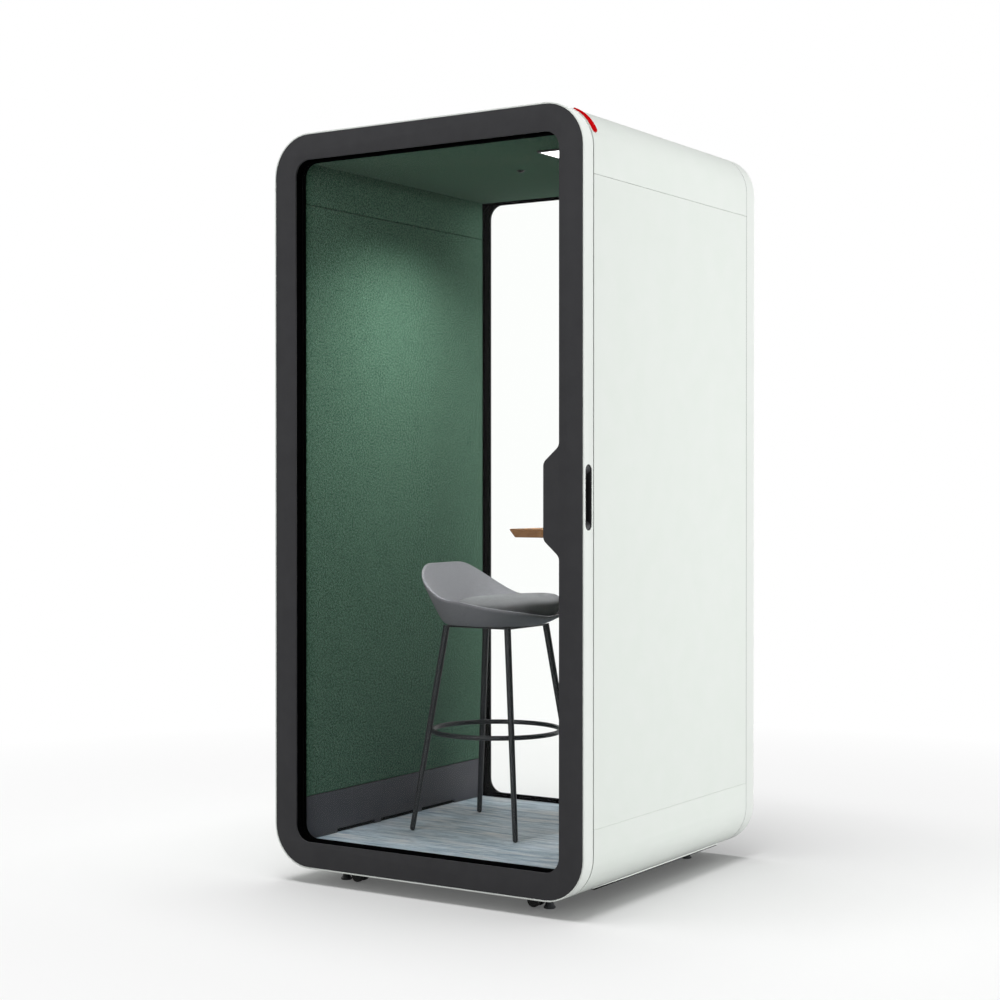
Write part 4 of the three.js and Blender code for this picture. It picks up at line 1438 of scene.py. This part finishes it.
@dataclass
class Stool(Assembly):
    """Bar stool: upholstered tub with a welt, stuffed cushion and a welded frame."""

    seat: Seat = field(default_factory=Seat)
    around: int = 72
    wall_rings: int = 9
    bowl_rings: int = 6
    underside: Profile = ((0.3, 0.0), (0.58, 0.0), (0.66, 1.2 * MM))
    rim_out: Profile = ((0.996, 3.0 * MM), (0.989, 1.0 * MM), (0.979, 0.4 * MM))
    rim_in: Profile = ((0.969, 1.0 * MM), (0.962, 3.0 * MM))
    bowl_floor: tuple[float, ...] = (0.5, 0.25)
    welt_radius: float = 1.8 * MM
    welt_steps: int = 3
    welt_share: float = 0.99
    welt_drop: float = 2.8 * MM
    under_shares: tuple[float, ...] = (0.25, 0.6, 0.8, 0.93)
    over_shares: Profile = (
        (0.97, 0.0), (0.965, 0.22), (0.93, 0.46), (0.84, 0.66), (0.63, 0.8), (0.3, 0.86)
    )
    over_rim: float = 0.05
    lift: float = 3 * MM
    voxel: float = 5 * MM
    pressure: float = 4.0
    most_move: float = 6 * MM
    frames: int = 20
    settling: int = 14
    leg_foot: float = 191 * MM
    leg_head: float = 113 * MM
    leg_top: float = 636 * MM
    leg_through: float = 4.6 * MM
    leg_lift: float = 0.4 * MM
    leg_radii: Span = (8.2 * MM, 10.6 * MM)
    leg_steps: int = 28
    tip_steps: int = 8
    tip_tall: float = 0.9
    ring_radius: float = 203 * MM
    ring_height: float = 308 * MM
    ring_tube: float = 7.5 * MM
    tube_steps: int = 20
    ring_steps: int = 120
    plate_half: float = 118 * MM
    plate_thick: float = 5.6 * MM
    plate_middle: float = 2.7 * MM
    plate_corner: float = 20 * MM
    corner_steps: int = 8

    def build(self) -> None:
        """Makes the frame, the tub, its welt and the cushion."""
        self.frame()
        self.tub()
        self.welt()
        self.cushion()

    def level(self, scale: float, height: float) -> Ring:
        """A flat ring."""
        return lambda phi: self.seat.at(phi, scale, height)

    def rim_ring(self, scale: float, drop: float) -> Ring:
        """A ring that follows the rim."""
        return lambda phi: self.seat.at(phi, scale, self.seat.rim(phi) - drop)

    def tub(self) -> None:
        """Makes the upholstered tub from its underside over the rim to the inside."""
        s = self.seat
        rings: list[Ring] = [self.level(k, s.base + up) for k, up in self.underside]
        walls = [i / self.wall_rings for i in range(self.wall_rings + 1)]
        rings += [lambda phi, t=t: s.outer(phi, t) for t in walls]
        rings += [self.rim_ring(*at) for at in (*self.rim_out, *self.rim_in)]
        bowls = [i / self.bowl_rings for i in range(self.bowl_rings + 1)]
        scales = [lerp(s.rim_share, s.bowl_share, t) for t in bowls]
        rings += [lambda phi, k=k: s.at(phi, k, s.inner(phi, k)) for k in scales]
        rings += [self.level(k, s.bowl) for k in self.bowl_floor]
        piece = self.bench.loose("stool_tub", skinned(rings, self.around))
        self.smooth(piece)
        self.bench.fit(piece, Palette.TUB, Body.STOOL.value, ["stool_shell"])

    def welt(self) -> None:
        """Runs a sewn welt along the outside of the rim."""
        curve = bpy.data.curves.new("stool_welt_line", "CURVE")
        curve.dimensions = "3D"
        curve.bevel_depth = self.welt_radius
        curve.bevel_resolution = self.welt_steps
        line = curve.splines.new("POLY")
        count = 2 * self.around
        line.points.add(count - 1)
        line.use_cyclic_u = True
        run = self.rim_ring(self.welt_share, self.welt_drop)
        for i, point in enumerate(line.points):
            point.co = (*run(math.tau * i / count), 1.0)
        drawn = placed("stool_welt_line", curve)
        mesh = evaluated(drawn)
        bpy.data.objects.remove(drawn)
        bm = opened(mesh)
        bpy.data.meshes.remove(mesh)
        bmesh.ops.remove_doubles(bm, verts=bm.verts, dist=SAME_POINT)
        outward(bm)
        self.bench.make("stool_welt", bm, Palette.TUB, Body.STOOL.value)

    def cushion(self) -> None:
        """Stuffs the seat cushion: a smaller closed form that cloth under pressure fills out."""
        s = self.seat
        crown = s.cushion_top - s.cushion_edge
        over = [(k, s.cushion_edge + share * crown) for k, share in self.over_shares]
        rings: list[Ring] = [lambda phi, k=k: self.under(phi, k) for k in self.under_shares]
        rings += [lambda phi, k=k, z=z: s.padding(phi, k, z) for k, z in over]
        piece = self.bench.loose("stool_cushion_stuffed", skinned(rings, self.around))
        self.stuff(piece)
        self.smooth(piece)
        self.bench.fit(piece, Palette.CUSHION, Body.STOOL.value, ["stool_cushion"])

    def under(self, phi: float, share: float) -> Vector:
        """Point on the cushion's underside, a little above the tub.

        Args:
            phi: angle from the front.
            share: share of the cushion's widest line.

        Returns:
            The point.
        """
        s = self.seat
        scale = share * s.cushion_scale(phi)
        over = scale > s.rim_share - self.over_rim
        height = s.rim(phi) if over else s.inner(phi, scale + s.cushion_free)
        return s.at(phi, scale, height + self.lift)

    def stuff(self, piece: Piece) -> None:
        """Blows a piece up as cloth, smooths it and keeps the result in its mesh.

        Args:
            piece: the closed piece.
        """
        scene = bpy.context.scene
        remesh = piece.modifiers.new("even_faces", "REMESH")
        remesh.mode = "VOXEL"
        remesh.voxel_size = self.voxel
        self.keep(piece)
        start = [v.co.copy() for v in piece.data.vertices]
        cloth = piece.modifiers.new("stuffing", "CLOTH")
        cloth.settings.use_pressure = True
        cloth.settings.uniform_pressure_force = self.pressure
        cloth.settings.effector_weights.gravity = 0.0
        cloth.point_cache.frame_end = self.frames
        for frame in range(1, self.frames + 1):
            scene.frame_set(frame)
        self.keep(piece)
        scene.frame_set(1)
        for v, rest in zip(piece.data.vertices, start):
            move = v.co - rest
            if move.length > self.most_move:
                v.co = rest + move * (self.most_move / move.length)
        bm = opened(piece.data)
        every_way = {f"use_axis_{axis}": True for axis in "xyz"}
        for _ in range(self.settling):
            bmesh.ops.smooth_vert(bm, verts=bm.verts, factor=0.5, **every_way)
        closed(bm, piece.data)

    @staticmethod
    def keep(piece: Piece) -> None:
        """Makes what the modifiers give the piece's own mesh, and drops them.

        Args:
            piece: the piece.
        """
        mesh = evaluated(piece)
        piece.modifiers.clear()
        old, piece.data = piece.data, mesh
        bpy.data.meshes.remove(old)

    @staticmethod
    def smooth(piece: Piece) -> None:
        """Adds one step of subdivision."""
        subdivision = piece.modifiers.new("soft_form", "SUBSURF")
        subdivision.levels = subdivision.render_levels = 1

    def frame(self) -> None:
        """Welds the tapered legs, the foot ring and the plate under the seat."""
        s = self.seat
        bm = bmesh.new()
        for sx, sy in CORNERS.values():
            self.leg(bm, sx, sy)
        tube = self.ring_tube
        turns = [math.tau * i / self.tube_steps for i in range(self.tube_steps + 1)]
        ring = [(self.ring_radius + tube * math.cos(a), tube * math.sin(a)) for a in turns]
        turned(bm, ring, self.ring_steps, shifted(s.x, s.y, s.floor + self.ring_height))
        self.plate(bm)
        name, body = "stool_frame_welded", Body.STOOL.value
        piece = self.bench.make(name, bm, Palette.STEEL, body, ["stool_frame"])
        piece.data.set_sharp_from_angle(angle=CRISP)

    def leg(self, bm: Mesh, sx: int, sy: int) -> None:
        """Turns one tapered leg with a rounded foot.

        Args:
            bm: the frame's mesh.
            sx: the leg's side on x.
            sy: the leg's side on y.
        """
        s = self.seat
        ends = (
            (self.leg_foot, s.floor + self.leg_lift),
            (self.leg_head, s.floor + self.leg_top + self.leg_through),
        )
        foot, head = (Vector((s.x + sx * out, s.y + sy * out, z)) for out, z in ends)
        axis = head - foot
        long, (r0, r1) = axis.length, self.leg_radii
        turns = [i * math.pi / (2 * self.tip_steps) for i in range(self.tip_steps)]
        profile = [(r0 * math.sin(a), r0 * self.tip_tall * (1 - math.cos(a))) for a in turns]
        profile += [(r0, r0), (lerp(r0, r1, 0.5), long / 2), (r1, long), (0, long)]
        place = Matrix.Translation(foot) @ axis.to_track_quat("Z", "Y").to_matrix().to_4x4()
        turned(bm, profile, self.leg_steps, place)

    def plate(self, bm: Mesh) -> None:
        """Makes the plate that the legs are welded to.

        Args:
            bm: the frame's mesh.
        """
        s = self.seat
        made = bmesh.ops.create_cube(bm, size=1.0)["verts"]
        size = Vector((2 * self.plate_half, 2 * self.plate_half, self.plate_thick))
        middle = (s.x, s.y, s.floor + self.leg_top + self.plate_middle)
        bmesh.ops.scale(bm, vec=size, verts=made)
        bmesh.ops.translate(bm, vec=middle, verts=made)
        edges = {e for v in made for e in v.link_edges}
        upright = [e for e in edges if abs(e.verts[0].co.z - e.verts[1].co.z) > MM]
        bevelled(bm, upright, self.plate_corner, self.corner_steps, "EDGES")


class Lit(Enum):
    """What a lamp lights: the studio floor, the pod, or the pod without its white panels."""

    FLOOR = "floor"
    POD = "pod"
    CABIN = "cabin"


@dataclass(frozen=True)
class Softbox:
    """A soft rectangular lamp."""

    name: str
    at: Point
    aim: Point
    size: Span
    power: float
    lit: Lit = Lit.POD
    spread: float = 180.0

    def hang(self, floor: Piece, panels: Sequence[Piece]) -> None:
        """Hangs the lamp.

        Args:
            floor: the studio floor, lit by its own lamp alone.
            panels: the white panels, which the cabin's lamps leave alone.
        """
        data = bpy.data.lights.new(self.name, "AREA")
        data.shape = "RECTANGLE"
        data.size, data.size_y = self.size
        data.energy = self.power
        data.spread = math.radians(self.spread)
        lamp = placed(self.name, data)
        lamp.location = self.at
        aim = Vector(self.aim) - Vector(self.at)
        lamp.rotation_euler = aim.to_track_quat("-Z", "Y").to_euler()
        lamp.visible_camera = lamp.visible_glossy = lamp.visible_transmission = False
        named = bpy.data.collections.new(f"{self.name}_lights")
        for thing in (floor, *(panels if self.lit is Lit.CABIN else ())):
            named.objects.link(thing)
        for member in named.collection_objects:
            member.light_linking.link_state = "INCLUDE" if self.lit is Lit.FLOOR else "EXCLUDE"
        lamp.light_linking.receiver_collection = named


@dataclass
class Studio(Assembly):
    """Camera at the photograph's angle, pale floor and soft light."""

    eye: Point = (3.098, -4.9425, 1.195)
    azimuth: float = 32.73
    pitch: float = 0.419
    lens: float = 67.2
    sensor: float = 36.0
    ambient: float = 0.28
    floor_half: float = 14.0
    floor_fade: Span = (1.5, 3.7)
    shadow_lift: float = 0.09
    paint: Colour = (240, 240, 240)
    paint_bounced: Colour = (180, 180, 180)
    lamps: tuple[Softbox, ...] = (
        Softbox("floor_softbox", (-0.3, -1.2, 14.0), (0, 0, 0), (9.0, 9.0), 1780.0, Lit.FLOOR),
        Softbox("right_softbox", (8.5, 1.2, 2.4), (0, 0, 1.6), (4.0, 1.6), 440.0),
        Softbox("left_softbox", (-8.5, 1.2, 2.4), (0, 0, 1.6), (4.0, 1.6), 325.0),
        Softbox("front_softbox", (0.3, -5.0, 4.6), (0, 0, 0.6), (3.0, 2.0), 135.0, Lit.CABIN),
        Softbox("rear_softbox", (-0.3, 5.0, 4.6), (0, 0, 0.6), (3.0, 2.0), 115.0, Lit.CABIN),
        Softbox("roof_softbox", (0, 0, 9.0), (0, 0, 2.2), (4.0, 4.0), 55.0),
        Softbox("cabin_lamp", (0, -0.05, 2.165), (0, -0.05, 0.5), (0.3, 0.35), 8.7, spread=130.0),
        Softbox("cabin_wide_lamp", (0, 0, 2.165), (0, 0, 0.5), (0.85, 0.9), 0.8),
    )

    def build(self) -> None:
        """Sets up camera, world, floor and lamps."""
        bpy.context.scene.view_settings.view_transform = "Standard"
        self.camera()
        self.world()
        floor = self.floor()
        panels = [*self.bench.made_in(Palette.WHITE), bpy.data.objects["rear_frame_fine"]]
        for lamp in self.lamps:
            lamp.hang(floor, panels)

    def camera(self) -> None:
        """Makes the camera."""
        data = bpy.data.cameras.new("photo_camera")
        data.lens, data.sensor_width = self.lens, self.sensor
        camera = placed("photo_camera", data)
        a, p = math.radians(self.azimuth), math.radians(self.pitch)
        look = Vector((-math.sin(a) * math.cos(p), math.cos(a) * math.cos(p), -math.sin(p)))
        camera.location = self.eye
        camera.rotation_euler = look.to_track_quat("-Z", "Y").to_euler()
        bpy.context.scene.camera = camera

    @staticmethod
    def seen(g: Graph) -> Socket:
        """1 for rays by which the eye, gloss and glass see a thing, else 0.

        Args:
            g: the graph that takes the nodes.

        Returns:
            The mask.
        """
        path = g.node("ShaderNodeLightPath").outputs
        seen = g.math("MAXIMUM", path["Is Camera Ray"], path["Is Glossy Ray"])
        return g.math("MAXIMUM", seen, path["Is Transmission Ray"])

    def world(self) -> None:
        """White to the eye, softer as a light."""
        world = bpy.data.worlds.new("studio_white")
        world.use_nodes = True
        world.node_tree.nodes.clear()
        g = Graph(world.node_tree)
        light, white = (
            g.node("ShaderNodeBackground", {"Color": (1, 1, 1, 1), "Strength": strength}).outputs[0]
            for strength in (self.ambient, 1.0)
        )
        mixed = g.node("ShaderNodeMixShader", {0: self.seen(g), 1: light, 2: white})
        g.node("ShaderNodeOutputWorld", {"Surface": mixed.outputs[0]})
        bpy.context.scene.world = world

    def floor(self) -> Piece:
        """Pale floor that fades into the white background.

        Returns:
            The floor.
        """
        bm = bmesh.new()
        bmesh.ops.create_grid(bm, x_segments=8, y_segments=8, size=self.floor_half)
        mesh = bpy.data.meshes.new("studio_floor")
        bm.to_mesh(mesh)
        bm.free()
        floor = placed("studio_floor", mesh)
        material = bpy.data.materials.new("studio_floor_paint")
        material.use_nodes = True
        g = Graph(material.node_tree)
        shader = material.node_tree.nodes["Principled BSDF"]
        far = g.node("ShaderNodeVectorMath", {0: g.coords()}, operation="LENGTH").outputs["Value"]
        fade = g.times(g.remap(far, *self.floor_fade, self.shadow_lift, 1.0), self.seen(g))
        white = g.node("ShaderNodeEmission", {"Color": (1, 1, 1, 1), "Strength": 1.0}).outputs[0]
        mixed = g.node("ShaderNodeMixShader", {0: fade, 1: shader.outputs[0], 2: white})
        bounced = g.node("ShaderNodeLightPath").outputs["Is Diffuse Ray"]
        tint = g.blend(bounced, srgb(*self.paint), srgb(*self.paint_bounced))
        g.fill(shader, {"Base Color": tint, "Roughness": 0.9, "Specular IOR Level": 0.0})
        g.fill(material.node_tree.nodes["Material Output"], {"Surface": mixed.outputs[0]})
        mesh.materials.append(material)
        return floor


def main() -> None:
    """Loads the part and builds every sub-assembly."""
    logging.basicConfig(level=logging.INFO, format="%(name)s: %(message)s")
    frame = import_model()
    bench = Bench(frame)
    for assembly in (Shell, GlazedEnds, Cabin, RunningGear, Stool, Studio):
        assembly(bench).build()


if __name__ == "__main__":
    main()
